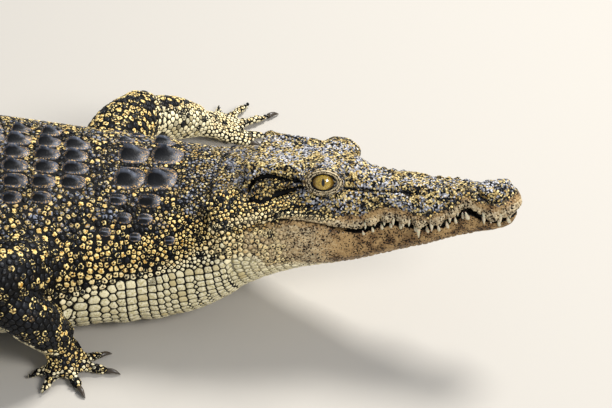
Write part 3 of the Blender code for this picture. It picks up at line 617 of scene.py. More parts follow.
for middle, depth in ((1.045, 0.0026), (1.12, 0.0020)):
    fold = hump(head_along + 0.25 * np.minimum(head_up + 0.05, 0), middle, 0.014)
    rise -= depth * fold * smoothstep(0.20, 0.10, head_up) * is_head
for i in np.flatnonzero(np.linalg.norm(points - heart, axis=1) < 0.26):
    place = Vector(points[i])
    rise[i] += 0.0007 * noise.noise(place * 95) + 0.0005 * noise.noise(place * 210)
body_fold = (region == BODY) * span(0.02, 0.10, 0.60, 0.75, along)
low = np.sin(around * math.tau) < 0.35
for i in np.flatnonzero(body_fold * low > 0):
    rise[i] += 0.0028 * body_fold[i] * noise.noise(Vector((along[i] * 45, around[i] * 7, 0)))
move_to(skin_mesh, points)
points += normals_of(skin_mesh) * (rise * np.where(region >= LIMBS, 0, 1))[:, None]

# Inside the opening of the lids the skin dives under the eyeball.
for eye in eyes.values():
    ring, out, away = round_eye(points, *eye)
    inside = (ring < LID_FOOT * math.sqrt(0.78)) & (out > 0) & (out < 0.03)
    distance = np.linalg.norm(away[inside], axis=1)[:, None]
    points[inside] = eye[0] + away[inside] / distance * (EYE_RADIUS - 0.0030)
FLOOR_GAP = 0.0006
points[:, 2] = np.maximum(points[:, 2], FLOOR_GAP)
move_to(skin_mesh, points)

# ---- Markings ------------------------------------------------------------------------------------
# The same markings run over skin and scales: black back with ochre flecks, the flecks larger and paler
# down the sides, cream belly and throat, slate head, tan jaws with dark pores. Each of the four colours has
# a smooth field over the skin that says how much of it there is.
# Besides the colours, the fields carry painted shade: darker in the creases of the head, and black in the
# mouth's gap, the ear's slit and the mouth's corner.
skin_normals = normals_of(skin_mesh)
high = np.where(region == BODY, np.sin(around * math.tau), skin_normals[:, 2])
head_level = np.where(is_head, head_up - line, 0)
widest = 0.26 * smoothstep(0.26, 0.10, along) - 0.10 * smoothstep(0.25, 0.5, along)
pale_body = smoothstep(widest + 0.20, widest - 0.42, high)
toe_bands = 0.30 + 0.30 * np.cos(along * math.tau / 0.0275)
pale_limb = 0.75 * smoothstep(-0.2, -0.7, high) + toe_bands * smoothstep(0.74, 0.82, along)
far_arm = (region == LIMBS) * smoothstep(0.15, 0.22, along)
pale_far = 0.64 * smoothstep(0.98 + 0.4 * smoothstep(0.45, 0.6, along), 0.30, high)
pale_limb = np.maximum(pale_limb, far_arm * pale_far)
pale_head = smoothstep(-0.15, -0.26, head_level) * smoothstep(0.15, -0.35, skin_normals[:, 2])
pale_head = np.maximum(pale_head, smoothstep(0.92, 1.02, head_along) * smoothstep(-0.08, -0.16, head_level))
on_upper_lip = smoothstep(0.0, 0.004, head_level) * smoothstep(0.060, 0.030, head_level)
jaw_rear = smoothstep(0.62, 0.78, head_along) * smoothstep(0.0, -0.03, head_level)
pale_head = np.maximum.reduce((pale_head, 0.31 * on_upper_lip, 0.26 * jaw_rear))
pale = np.select([is_head, region == BODY], [pale_head, pale_body], pale_limb)
gold_body = 0.39 + 0.22 * smoothstep(0.95, 0.45, high) + 0.14 * smoothstep(0.16, 0.06, along)
gold_body -= 0.10 * smoothstep(0.66, 0.9, along)
gold_limb = 0.17 + 0.35 * smoothstep(0.42, 0.6, along) + 0.28 * (region == LIMBS)
gold_limb -= 0.22 * hump(along, 0.33, 0.13) * (region == LIMBS + 1)
gold_head = 0.62 + 0.30 * smoothstep(0.70, 0.80, head_along) * smoothstep(0.02, -0.02, head_level)
gold = np.select([is_head, region == BODY], [gold_head, gold_body], gold_limb)
face = is_head * (1 - smoothstep(0.98, 1.05, head_along))
tan_top = 0.085 - 0.048 * smoothstep(0.62, 0.72, head_along)
tan_top -= 0.018 * smoothstep(0.50, 0.34, head_along) * smoothstep(0.11, 0.18, head_along)
tan = face * smoothstep(tan_top, tan_top - 0.045, head_level)
tan *= 1 - 0.72 * smoothstep(0.74, 0.90, head_along)
slate = face * smoothstep(0.035, 0.10, head_level)
slate *= 1 - 0.55 * smoothstep(0.75, 0.82, head_along) * smoothstep(0.195, 0.17, head_up)
# Painted shade: the mouth's gap, the ear's slit with the fold under its flap, and the corner of the mouth are
# painted black, as shadow.
gum = lower_lip - 0.009 * smoothstep(0.70, 0.60, head_along)
in_mouth = is_head & (head_up < upper_lip + 0.001) & (head_up > gum) & (head_along < 0.76)
in_mouth &= np.abs(head_across) < muzzle_half_width(head_along) - 0.006
in_ear = ((ear > 0.5) & (slit_here > 0.62)) | ((ear_low > 0.5) & (foot_here > 0.70))
in_painted_shade = in_mouth | in_ear | ((corner > 0.3) & (np.abs(head_up - line) < 0.0045) & is_head)
# The shade factor paints shade: every colour goes black in those places and darker in the creases.
shade = np.where(in_painted_shade, 0, 1 - 0.9 * smoothstep(0.45, 0.75, creases))
pale, tan, slate = pale * shade, tan * shade, slate * shade
gold = np.where(in_painted_shade, 0, gold * (0.15 + 0.85 * shade))
nape = is_head * smoothstep(0.96, 1.02, head_along) * smoothstep(0.09, 0.16, head_up)
slate = np.maximum(slate, 0.55 * nape)
slate_back = 0.42 + 0.3 * smoothstep(0.07, 0.0, along)
slate = np.maximum(slate, slate_back * (region == BODY) * smoothstep(0.45, 0.80, high))

# ---- Scale roots ---------------------------------------------------------------------------------
# Where each small scale grows. Belly, throat, tail and lower leg scales stand in rows, and
# the granules between them fill the rest at a spacing that is least on the face and toes.
skin_mesh.calc_loop_triangles()
triangles = read(skin_mesh.loop_triangles, "vertices", 3, np.int32)
skin_tree = BVHTree.FromPolygons(points.tolist(), triangles.tolist())


def settle(places):
    """Drops points onto the skin, and says which vertex of the skin each lies next to."""
    roots, vertices = np.empty((len(places), 3)), np.empty(len(places), int)
    for i, place in enumerate(places):
        spot, _, face, _ = skin_tree.find_nearest(place)
        roots[i] = spot
        corners = triangles[face]
        vertices[i] = corners[np.argmin(((points[corners] - roots[i]) ** 2).sum(axis=1))]
    return roots, vertices


def lengths_along(path):
    """How far along a path each of its points lies."""
    return np.concatenate(([0], np.cumsum(np.linalg.norm(np.diff(path, axis=0), axis=1))))


def along_row(ring, start, end, pitch):
    """Points a pitch apart on a row, from one share of the ring to another, set out from its middle."""
    count = len(ring)
    place = np.linspace(start, end, 200) * count
    first = np.floor(place).astype(int)
    part = (place - first)[:, None]
    line = ring[first % count] * (1 - part) + ring[(first + 1) % count] * part
    length = lengths_along(line)
    fitted = max(1, round(length[-1] / pitch))
    stops = (np.arange(fitted) + 0.5) / fitted * length[-1]
    return np.stack([np.interp(stops, length, line[:, axis]) for axis in range(3)], axis=1)


row_points, row_size, row_long = [], [], []


def add_row(places, size, long):
    row_points.append(places)
    row_size.append(np.full(len(places), size))
    row_long.append(np.full(len(places), long))


def marching(at, end, pitch, metres=1.0):
    """Places up to an end, each a pitch after the last, where the pitch changes on the way."""
    while at < end:
        step = float(pitch(at))
        yield at, step
        at += step / metres


whorl_length = curve((TRUNK_END, 0.033), (1.2, 0.030), (SPINE, 0.021))
belly_pitch = curve((0.0, 0.0080), (0.05, 0.0094), (0.10, 0.0114), (0.16, 0.0130), (TRUNK_END, 0.0160))
belly_edge = curve(
    (0, 0.01), (0.06, -0.020), (0.12, -0.025), (0.20, 0.020), (0.32, 0.045), (TRUNK_END, 0.045),
)
for at, pitch in marching(0.006, TRUNK_END, belly_pitch):
    ring, edge = body_ring(at, ring_angles), float(belly_edge(at))
    bend = 0.0030 * math.sin(at * 90)
    add_row(along_row(ring, 0.5 + edge, 1.0 - edge, pitch * 0.92) + (bend, 0, 0), pitch * 0.5, 1.0)
whorls = list(marching(TRUNK_END, SPINE - 0.012, whorl_length))
for at, length in whorls:
    ring = body_ring(at + 0.5 * length, ring_angles)
    pitch = max(0.0075, 0.5 * length * min(1.0, float(half_width(at)) / 0.05))
    add_row(along_row(ring, 0.34, 1.16, pitch), 0.5 * pitch, 0.5 * length / (0.5 * pitch))
throat_pitch = curve((0.20, 0.0060), (0.5, 0.0066), (0.9, 0.0074), (HEAD_BACK, 0.0080))
throat_edge = curve((0.20, 0.36), (0.75, 0.34), (0.95, 0.16), (HEAD_BACK, 0.10))
for at, pitch in marching(0.20, HEAD_BACK, throat_pitch, SKULL):
    arch, edge = jaw_ring(at)[:ARCH_POINTS], float(throat_edge(at))
    whole = (ARCH_POINTS - 1) / ARCH_POINTS
    add_row(along_row(arch, edge * whole, (1 - edge) * whole, pitch * 0.95), pitch * 0.5, 1.0)
for joints, upper_pitch, lower_pitch in (
    (FORE_LEFT, 0.0074, 0.0060), (FORE_RIGHT, 0.0074, 0.0060),
    (HIND_LEFT, 0.010, 0.008), (HIND_RIGHT, 0.010, 0.008),
):
    rings = lower_length(joints)
    length = lengths_along(rings.mean(axis=1))
    stop = 0.30 * length[-1]
    while stop < length[-1] - 0.004:
        pitch = upper_pitch + (lower_pitch - upper_pitch) * stop / length[-1]
        place = np.interp(stop, length, np.arange(len(length)))
        first = min(int(place), len(length) - 2)
        ring = rings[first] + (rings[first + 1] - rings[first]) * (place - first)
        shift = 0.5 * pitch / (math.tau * 0.5 * (joints[3][3] + joints[3][4])) * (len(row_points) % 2)
        scales = along_row(ring, shift, 1.0 + shift, pitch * 1.15)
        add_row(scales + chance.normal(0, 0.0006, scales.shape), pitch * 0.5, 0.92)
        stop += pitch
row_start = np.concatenate(row_points)
row_points, row_vertices = settle(row_start)
row_size, row_long = np.concatenate(row_size), np.concatenate(row_long)
FARTHEST_MOVE = 0.0045  # a scale that lies farther than this from the skin is left out
on_skin = np.linalg.norm(row_points - row_start, axis=1) <= FARTHEST_MOVE

# Spacing of the granules, by region.
GRANULE_SIZES = (0.0030, 0.0034, 0.0039, 0.0045, 0.0052, 0.0060, 0.0070, 0.0082, 0.0096)
PACKING = 0.84  # how near two granules may be thrown, in granule sizes
CLEARANCE = 0.45  # how near one may come to a plate or a scale in a row, in those distances
THROWS = 5.0  # for each granule that there is room for
spacing_head = np.where(head_level > 0.05, 0.0030, 0.0033) + 0.0008 * smoothstep(0.80, 1.0, head_along)
spacing_head += 0.0020 * smoothstep(0.80, 0.90, head_along) * hump(head_up, -0.08, 0.06)
spacing_body = 0.0037 + 0.0010 * smoothstep(0.02, 0.10, along) + 0.0010 * smoothstep(0.08, 0.16, along)
spacing_body += 0.0011 * smoothstep(0.75, 0.2, high) * smoothstep(0.0, 0.16, along)
spacing_limb = 0.0076 - 0.0016 * smoothstep(0.12, 0.35, along) - 0.0022 * smoothstep(0.5, 0.62, along)
spacing = np.select([is_head, region == BODY], [spacing_head, spacing_body], spacing_limb)
eye_inside = np.zeros(len(points), bool)
for eye in eyes.values():
    ring, out, away = round_eye(points, *eye)
    eye_inside |= (ring < LID_REACH - 0.12) & (out > 0) & (np.linalg.norm(away, axis=1) < 0.03)
bare = in_painted_shade | eye_inside | (points[:, 2] < 0.0012)


def scattered(blocked, blocked_radius):
    """Seeded dart throwing, coarsest granules first, that keeps clear of the scales already set."""
    corners = points[triangles]
    one, two = corners[:, 1] - corners[:, 0], corners[:, 2] - corners[:, 0]
    area = np.where(bare[triangles].any(axis=1), 0, 0.5 * np.linalg.norm(np.cross(one, two), axis=1))
    size = spacing[triangles[:, 0]]
    kept, kept_size = [], []
    fixed = tree_of(blocked)
    bounds = (0, *[(a + b) / 2 for a, b in zip(GRANULE_SIZES, GRANULE_SIZES[1:])], 1)
    cells, cell = {}, 0.0080
    steps = [(a, b, c) for a in (-1, 0, 1) for b in (-1, 0, 1) for c in (-1, 0, 1)]
    for level in reversed(range(len(GRANULE_SIZES))):
        mine = (size > bounds[level]) & (size <= bounds[level + 1])
        weight = np.where(mine, area, 0)
        total = weight.sum()
        gap = GRANULE_SIZES[level] * PACKING
        if total < gap * gap:
            continue
        tries = int(THROWS * total / gap**2)
        pick = chance.choice(len(weight), tries, p=weight / total)
        u, v = chance.random((2, tries))
        u, v = np.where(u + v > 1, 1 - u, u), np.where(u + v > 1, 1 - v, v)
        places = corners[pick, 0] + u[:, None] * one[pick] + v[:, None] * two[pick]
        keys = np.floor(places / cell).astype(int)
        for place, (i, j, k) in zip(places.tolist(), keys.tolist()):
            x, y, z = place
            if any(
                (px - x) ** 2 + (py - y) ** 2 + (pz - z) ** 2 < 0.25 * (far + gap) * (far + gap)
                for a, b, c in steps for px, py, pz, far in cells.get((i + a, j + b, k + c), ())
            ):
                continue
            _, near, distance = fixed.find(place)
            if distance < blocked_radius[near] + CLEARANCE * gap:
                continue
            cells.setdefault((i, j, k), []).append((x, y, z, gap))
            kept.append(place)
            kept_size.append(gap / PACKING)
    return np.array(kept), np.array(kept_size)


def near_ones(places, count):
    """For each place the indices of its nearest neighbours."""
    tree = tree_of(places)
    return np.array([[hit[1] for hit in tree.find_n(place, count + 1)][1:] for place in places])


def evened(free, free_size, fixed, fixed_size, rounds):
    """Lets the granules push each other apart until they lie evenly."""
    for _ in range(rounds):
        every, size = np.concatenate((free, fixed)), np.concatenate((free_size, fixed_size))
        near = near_ones(every, 7)[: len(free)]
        away = free[:, None] - every[near]
        distance = np.linalg.norm(away, axis=2) + 1e-9
        wanted = 0.5 * (free_size[:, None] + size[near])
        push = np.maximum(0, wanted - distance) / distance
        free = free + 0.42 * (away * push[..., None]).sum(axis=1)
        free, _ = settle(free)
    return free


# ---- Plates of the neck and back -----------------------------------------------------------------
# Bony plates in the skin, each with a horn cover and a sharp lengthwise keel: four large ones in a square
# behind the head with small ones beside them, and six rows along the back, crosswise rows 31 mm apart.
SCUTE_ROWS = 0.031
SCUTE_SPACING = 0.172  # between lengthwise rows, in half widths of the body
BEYOND_TRUNK = 0.23  # how far the plates go on over the tail


def on_back(at, across):
    """The place on the back at a distance behind the head and across from its middle line."""
    angles = np.linspace(0.02, math.pi - 0.02, 200)
    ring = body_ring(at, angles)
    middle = body_ring(at, np.array((math.pi / 2,)))[0]
    way = math.radians(heading(at))
    side = np.array((math.sin(way), math.cos(way), 0))
    offset = (ring - middle) @ side
    return np.array([np.interp(across, offset[::-1], ring[::-1, axis]) for axis in range(3)])


plates = []  # place, half length, half width, dome height, keel height
NUCHAL = (  # place behind the head and across, half length and half width, dome and keel height
    (0.0865, 0.0205, 0.0180, 0.0180, 0.0012, 0.0125), (0.1225, 0.0200, 0.0174, 0.0176, 0.0012, 0.0118),
    (0.0950, 0.0510, 0.0130, 0.0090, 0.0014, 0.0070), (0.0970, 0.0710, 0.0085, 0.0065, 0.0020, 0.0016),
    (0.1235, 0.0700, 0.0085, 0.0065, 0.0020, 0.0016), (0.1330, 0.0500, 0.0100, 0.0072, 0.0016, 0.0034),
    (0.0640, 0.0880, 0.0060, 0.0048, 0.0014, 0.0008), (0.1080, 0.0860, 0.0064, 0.0050, 0.0014, 0.0008),
    (0.1450, 0.0840, 0.0070, 0.0050, 0.0014, 0.0010), (0.0160, 0.0140, 0.0060, 0.0050, 0.0010, 0.0022),
    (0.0170, 0.0400, 0.0060, 0.0050, 0.0010, 0.0022), (0.0210, 0.0640, 0.0056, 0.0046, 0.0010, 0.0016),
)
for at, across, half_length, half_breadth, dome, keel in NUCHAL:
    plates.extend((on_back(at, side * across), half_length, half_breadth, dome, keel) for side in (1, -1))
for at in 0.012 + np.arange(0.5, (TRUNK_END + BEYOND_TRUNK - 0.012) / SCUTE_ROWS) * SCUTE_ROWS:
    if at < NECK_END + 0.006:
        continue
    lane_width = SCUTE_SPACING * float(half_width(at))
    lanes = (0.5, 1.5, 2.5) if 0.20 < at < 0.62 else (0.5, 1.5)
    if at > TRUNK_END:
        lane_width = max(lane_width, 0.0155)
        lanes = (0.5,) if at > 0.78 else (0.5, 1.5)
    for lane in lanes:
        for side in (1, -1):
            jitter = chance.uniform(-0.0012, 0.0012)
            small = 0.80 if lane == 2.5 else 1.0
            height = 0.0092 * small * (1 - 0.35 * smoothstep(0.62, 0.80, at))
            half_length = 0.0148 * small * (1 + 0.05 * chance.uniform(-1, 1))
            place = on_back(at + jitter, side * lane * lane_width)
            plates.append((place, half_length, 0.475 * lane_width * small, 0.0014, height))
plate_places, plate_vertices = settle([plate[0] for plate in plates])
plate_sizes = np.array([plate[1:] for plate in plates])
plate_reach = np.sqrt(plate_sizes[:, 0] * plate_sizes[:, 1])

# ---- Granules ------------------------------------------------------------------------------------
# Each is a low horny bead that fills its share of the skin up to a narrow groove; the scales in rows are
# flatter and squarer. They are rings of points from a rim sunk in the skin up to the top of each.
plate_tree = tree_of(plate_places)
clear = [distance > plate_reach[i] * 0.9 for _, i, distance in map(plate_tree.find, row_points)]
row_points, row_vertices, row_size, row_long = (
    rows[on_skin & clear] for rows in (row_points, row_vertices, row_size, row_long)
)
fixed_points = np.concatenate((row_points, plate_places))
fixed_reach = np.concatenate((row_size * np.sqrt(row_long), plate_reach * 0.98))
granules, granule_spacing = scattered(fixed_points, fixed_reach)
granules = evened(granules, granule_spacing, fixed_points, 2 * fixed_reach, 3)
granules, granule_vertices = settle(granules)


def outlines(places, directions, sides, size, long, near, count, groove, limit):
    """How far each scale reaches in `count` directions before it meets its neighbours' share of the skin."""
    away = places[near] - places[:, None]
    distance = np.linalg.norm(away, axis=2)
    x = (away * directions[:, None]).sum(axis=2)
    y = (away * sides[:, None]).sum(axis=2)
    flat = np.sqrt(x * x + y * y) + 1e-9
    x, y = x * distance / flat, y * distance / flat
    angles = full_turn(count)
    ahead = x[..., None] * np.cos(angles) + y[..., None] * np.sin(angles)
    share = 0.5 * (distance**2 + size[:, None] ** 2 - size[near] ** 2)
    free = np.where(ahead > 1e-6, share[..., None] / np.maximum(ahead, 1e-6), 1.0).min(axis=1)
    stretch = np.sqrt((long[:, None] * np.cos(angles)) ** 2 + np.sin(angles) ** 2)
    widest = size[:, None] * limit[:, None] * stretch
    return np.clip(free, 0.25 * size[:, None], widest) - groove


def frames(vertices):
    """Outward, rearward and sideways directions at some vertices of the skin."""
    up = smooth_normals[vertices]
    back = lie[vertices] - up * (lie[vertices] * up).sum(axis=1)[:, None]
    back /= np.linalg.norm(back, axis=1)[:, None] + 1e-9
    return up, back, np.cross(up, back)


def make_scales(name, roots, vertices, reach, angles, dome, keel, profile, tint, hug=False):
    """One mesh of many closed scales: rings of points from a sunk rim up to the top of each.

    The profile lists each ring's share of the outline and of the dome's height, rim first.
    """
    up, back, side = frames(vertices)
    scales, rings, count = len(roots), len(profile), len(angles)
    shares, heights = np.array(profile).T
    x = reach[:, None, :] * shares[None, :, None] * np.cos(angles)
    y = reach[:, None, :] * shares[None, :, None] * np.sin(angles)
    height = dome[:, None, None] * heights[None, :, None] + 0 * x
    half_length, half_breadth = np.abs(x[:, 0]).max(axis=1), np.abs(y[:, 0]).max(axis=1)
    length_share = x / half_length[:, None, None]
    breadth_share = np.abs(y) / half_breadth[:, None, None]
    ridge = np.maximum(0, 1 - np.abs(y) / (0.90 * half_breadth[:, None, None])) ** 2.8
    climb = span(-1.0, 0.25, 0.50, 0.98, length_share)
    inner = (shares < 0.97)[None, :, None]
    height += keel[:, None, None] * ridge * climb * inner
    places = roots[:, None, None] + x[..., None] * back[:, None, None] + y[..., None] * side[:, None, None]
    if hug:
        for place in places.reshape(-1, 3):
            place[:] = skin_tree.find_nearest(Vector(place))[0]
    places = places + up[:, None, None] * height[..., None]
    centres = roots + up * (dome + keel * smoothstep(-1.0, 0.25, 0.0))[:, None]
    verts = np.concatenate((places.reshape(scales, -1, 3), centres[:, None]), axis=1).reshape(-1, 3)
    verts[:, 2] = np.maximum(verts[:, 2], 0.0002)
    index = np.arange(rings * count).reshape(rings, count)
    quads, last = bands(index), index[-1]
    peak = np.stack((last, np.roll(last, -1), np.full(count, rings * count)), axis=1)
    each = rings * count + 1
    loop_pattern = np.concatenate((index[0][::-1], quads.ravel(), peak.ravel()))
    loops = (loop_pattern[None] + np.arange(scales)[:, None] * each).ravel()
    totals = np.tile([count] + [4] * len(quads) + [3] * count, scales)
    mesh = bpy.data.meshes.new(name)
    mesh.vertices.add(len(verts))
    mesh.vertices.foreach_set("co", verts.astype(np.float32).ravel())
    mesh.loops.add(len(loops))
    mesh.loops.foreach_set("vertex_index", loops.astype(np.int32))
    mesh.polygons.add(len(totals))
    mesh.polygons.foreach_set("loop_start", np.concatenate(([0], np.cumsum(totals)[:-1])).astype(np.int32))
    mesh.update(calc_edges=True)
    rim = np.append(np.repeat(shares, count), 0.0)
    store(
        mesh, root=np.repeat(roots, each, axis=0), tint=np.repeat(tint, each), rim=np.tile(rim, scales),
        **{field: np.repeat(values[vertices], each) for field, values in fields.items()},
    )
    # Painted shade: a mark that paints the flanks of each keel near black, as if in the keel's shadow.
    if keel.max() > 0:
        hollow = span(0.02, 0.22, 0.55, 0.92, breadth_share) * climb
        store(mesh, hollow=np.append(hollow.reshape(scales, -1), np.zeros((scales, 1)), axis=1).ravel())
    spokes = np.stack((np.cos(angles), np.sin(angles)), axis=1)
    patch = np.append((shares[:, None, None] * spokes).reshape(-1, 2), [[0.0, 0.0]], axis=0)
    bake_map(mesh, vertices, np.tile(patch, (scales, 1)), each)
    return in_place(mesh)


def bake_map(mesh, vertices, patch, each):
    """Gives each scale a small patch at its root's place on an unwrap of the skin."""
    place = unwrap[vertices]
    place = 0.01 + 0.98 * (place - place.min(axis=0)) / (np.ptp(place, axis=0) + 1e-9)
    spots = np.repeat(place, each, axis=0) + 0.0015 * patch
    corners = read(mesh.loops, "vertex_index", 1, np.int32).ravel()
    mesh.uv_layers.new(name="OFBake").data.foreach_set("uv", spots[corners].astype(np.float32).ravel())


def store(mesh, **values):
    """Notes numbers or vectors at a mesh's points, for the materials to read."""
    for name, array in values.items():
        kind, item = ("FLOAT_VECTOR", "vector") if array.ndim == 2 else ("FLOAT", "value")
        mesh.attributes.new(name, kind, "POINT").data.foreach_set(item, array.astype(np.float32).ravel())


def in_place(mesh):
    """A smooth object made of a mesh, which moves with the model's one body."""
    mesh.shade_smooth()
    made = bpy.data.objects.new(mesh.name, mesh)
    bpy.context.scene.collection.objects.link(made)
    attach(made, "root")
    return made


fields = {"pale": pale, "gold": gold, "tan": tan, "slate": slate}
smooth_normals = skin_normals
for _ in range(3):
    smooth_normals = smooth_normals + neighbour_sums(smooth_normals, edges) / 4
    smooth_normals /= np.linalg.norm(smooth_normals, axis=1)[:, None]
limb_slot = np.maximum(region - LIMBS, 0)
unwrap_along = np.where(is_head, head_along, along)
unwrap = np.stack((unwrap_along, np.where(region >= LIMBS, (limb_slot + around) / 4, around)), axis=1)

# Every small scale, rows and granules together, so that each one ends where its neighbours begin.
roots = np.concatenate((granules, row_points, plate_places))
root_vertices = np.concatenate((granule_vertices, row_vertices, plate_vertices))
kind = np.repeat((0, 1, 2), (len(granules), len(row_points), len(plate_places)))  # granule, in a row, plate
size = np.concatenate((granule_spacing / 2, row_size, plate_reach))
long = np.ones(len(roots))
long[kind == 1] = row_long
up, back, side = frames(root_vertices)
near = near_ones(roots, 12)
limit = np.where(kind == 1, 1.42, 1.36)
groove = 0.00020 + 0.045 * size
coarse, fine = (outlines(roots, back, side, size, long, near, n, groove[:, None], limit) for n in (8, 16))
tint = chance.random(len(roots))
flatter = (0.12 + 0.14 * (tan > 0.5)) * (is_head * smoothstep(1.05, 0.8, head_along))
dome = np.where(kind == 1, 0.0006 + 0.10 * size, size * (0.36 - flatter)[root_vertices])

part = np.select(
    [
        is_head[root_vertices] & (head_level[root_vertices] > 0),
        is_head[root_vertices],
        region[root_vertices] >= LIMBS + 2,
        region[root_vertices] >= LIMBS,
        along[root_vertices] < NECK_END,
        along[root_vertices] < TRUNK_END,
    ],
    [0, 1, 6, 5, 2, 3],
    4,
)
names = ("head", "jaw", "neck", "trunk", "tail", "foreleg", "hindleg")
bead_profile = ((1.0, -0.40), (0.82, 0.66), (0.48, 0.96))
flat_profile = ((1.0, -0.8), (0.90, 0.55), (0.62, 0.92))
pieces = []
for number, name in enumerate(names):
    for this_kind, suffix, reach, profile in (
        (0, "_granules", coarse, bead_profile[:2] if name == "head" else bead_profile),
        (1, "_row_scales", fine, flat_profile),
    ):
        mine = (part == number) & (kind == this_kind)
        if mine.any():
            pieces.append(make_scales(
                name + suffix, roots[mine], root_vertices[mine], reach[mine], full_turn(reach.shape[1]),
                dome[mine], 0 * dome[mine], profile, tint[mine], hug=this_kind == 1,
            ))
plate_angles = full_turn(32)
plate_angles -= 0.30 * np.sin(2 * plate_angles)  # closer together at the ends of the keel
SQUARENESS = 2.6
ahead = (np.abs(np.cos(plate_angles)) / plate_sizes[:, :1]) ** SQUARENESS
aside = (np.abs(np.sin(plate_angles)) / plate_sizes[:, 1:2]) ** SQUARENESS
plate_outline = 1 / (ahead + aside) ** (1 / SQUARENESS)
plate_profile = (
    (1.0, -0.6), (0.95, 0.35), (0.85, 0.75), (0.68, 0.90), (0.50, 0.95), (0.34, 1.0), (0.20, 1.0),
    (0.08, 1.0),
)
pieces.append(make_scales(
    "back_plates", plate_places, plate_vertices, plate_outline, plate_angles, *plate_sizes.T[2:],
    plate_profile, chance.random(len(plate_places)), hug=True,
))

# ---- Crest of the tail ---------------------------------------------------------------------------
# Upright blades of horn, one pair to each ring of tail scales, that draw together into one row half way.
crest_height = curve(
    (0.66, 0.004), (0.74, 0.009), (0.90, 0.017), (1.05, 0.024), (1.20, 0.027), (1.35, 0.023), (1.55, 0.013),
    (SPINE, 0.004),
)
crest_gap = curve((0.66, 0.017), (0.90, 0.016), (1.02, 0.012), (1.12, 0.0035), (1.2, 0.0012), (SPINE, 0.0010))
BLADE_STATIONS = 9
BLADE_LOOP = ((1, 0), (0.8, 0.45), (0.32, 0.88), (0, 1.0), (-0.32, 0.88), (-0.8, 0.45), (-1, 0))  # aside, up
blade_rise = curve((0, 0.12), (0.45, 0.62), (0.84, 1.0), (0.94, 0.72), (1.0, 0.12))
FOOT_SUNK = 0.003
blades, blade_tints = [], []
for at, length in whorls:
    tall, gap = float(crest_height(at + 0.6 * length)), float(crest_gap(at + 0.5 * length))
    paired = gap > 0.002
    way = math.radians(heading(at))
    back = np.array((-math.cos(way), math.sin(way), 0))
    beside = np.array((math.sin(way), math.cos(way), 0))
    for side in (1, -1) if paired else (0,):
        blade = []
        for share in np.linspace(0, 1, BLADE_STATIONS):
            foot = on_back(min(at + share * length * 0.98, SPINE), side * gap) - (0, 0, FOOT_SUNK)
            swell = math.sin(math.pi * min(max(share, 0.04), 0.96)) ** 0.5
            top = tall * float(blade_rise(share))
            half = (0.0016 + 0.10 * tall) * swell + 0.0006
            blade.append([
                foot + beside * half * turn + (0, 0, FOOT_SUNK + top * level) + back * 0.22 * tall * level**2
                for turn, level in BLADE_LOOP
            ])
        blades.append(blade)
        blade_tints.append(chance.random())


def faced_out(name, points, faces, finer=False):
    """A mesh whose faces all turn outward, each cut in four where `finer` is true."""
    mesh = bpy.data.meshes.new(name)
    mesh.from_pydata([tuple(point) for point in points], [], faces)
    bm = bmesh.new()
    bm.from_mesh(mesh)
    bmesh.ops.recalc_face_normals(bm, faces=bm.faces)
    if finer:
        bmesh.ops.subdivide_edges(bm, edges=bm.edges, cuts=1, use_grid_fill=True, smooth=0.6)
    bm.to_mesh(mesh)
    bm.free()
    return mesh


blades = np.array(blades)
per_blade = BLADE_STATIONS * len(BLADE_LOOP)
crest_places = blades.reshape(-1, 3)
crest_faces = []
for first in range(0, len(crest_places), per_blade):
    index = first + np.arange(per_blade).reshape(BLADE_STATIONS, -1)
    crest_faces += [*bands(index).tolist(), index[0][::-1].tolist(), index[-1].tolist()]
crest_mesh = faced_out("tail_crest", crest_places, crest_faces)
plain = dict.fromkeys(fields, 0.0) | {"rim": 0.3, "gold": 0.2}
store(
    crest_mesh, root=crest_places, tint=np.repeat(blade_tints, per_blade) * 0.5 + 0.5,
    **{field: np.full(len(crest_places), value) for field, value in plain.items()},
)
_, blade_roots = settle(blades[:, BLADE_STATIONS // 2, len(BLADE_LOOP) // 2])
blade_patch = np.stack(np.meshgrid(*(np.linspace(-1, 1, n) for n in blades.shape[1:3]), indexing="ij"), -1)
bake_map(crest_mesh, blade_roots, np.tile(blade_patch.reshape(-1, 2), (len(blades), 1)), per_blade)
pieces.append(in_place(crest_mesh))

# ---- Eyelids -------------------------------------------------------------------------------------
# Two thick lids of fine skin in rings of folds, drawn over the ball from the brow and the cheek, with a
# dark wet edge and painted shade in the valleys between the folds. They are laid over the skin and sink into
# it all round.
# The darkness is 1 at the lid's wet edge, and also in the valleys between the folds, where it is painted
# shade.
LID_RINGS = (  # share of the opening, height above the form of the lid, darkness
    (0.94, -0.0008, 1.0), (0.98, 0.0005, 1.0), (1.04, 0.0012, 1.0), (1.10, 0.0013, 1.0), (1.17, 0.0014, 1.0),
    (1.19, 0.0017, 0.5), (1.27, 0.0017, 0.2), (1.34, 0.0012, 0.3), (1.37, 0.0001, 1.0), (1.44, 0.0000, 1.0),
    (1.47, 0.0011, 0.4), (1.55, 0.0013, 0.2), (1.61, 0.0009, 0.3), (1.64, 0.0001, 1.0), (1.70, 0.0000, 1.0),
    (1.73, 0.0009, 0.4), (1.81, 0.0010, 0.3), (1.86, 0.0003, 1.0), (1.92, 0.0003, 1.0),
    (LID_REACH, -0.0014, 0.9),
)
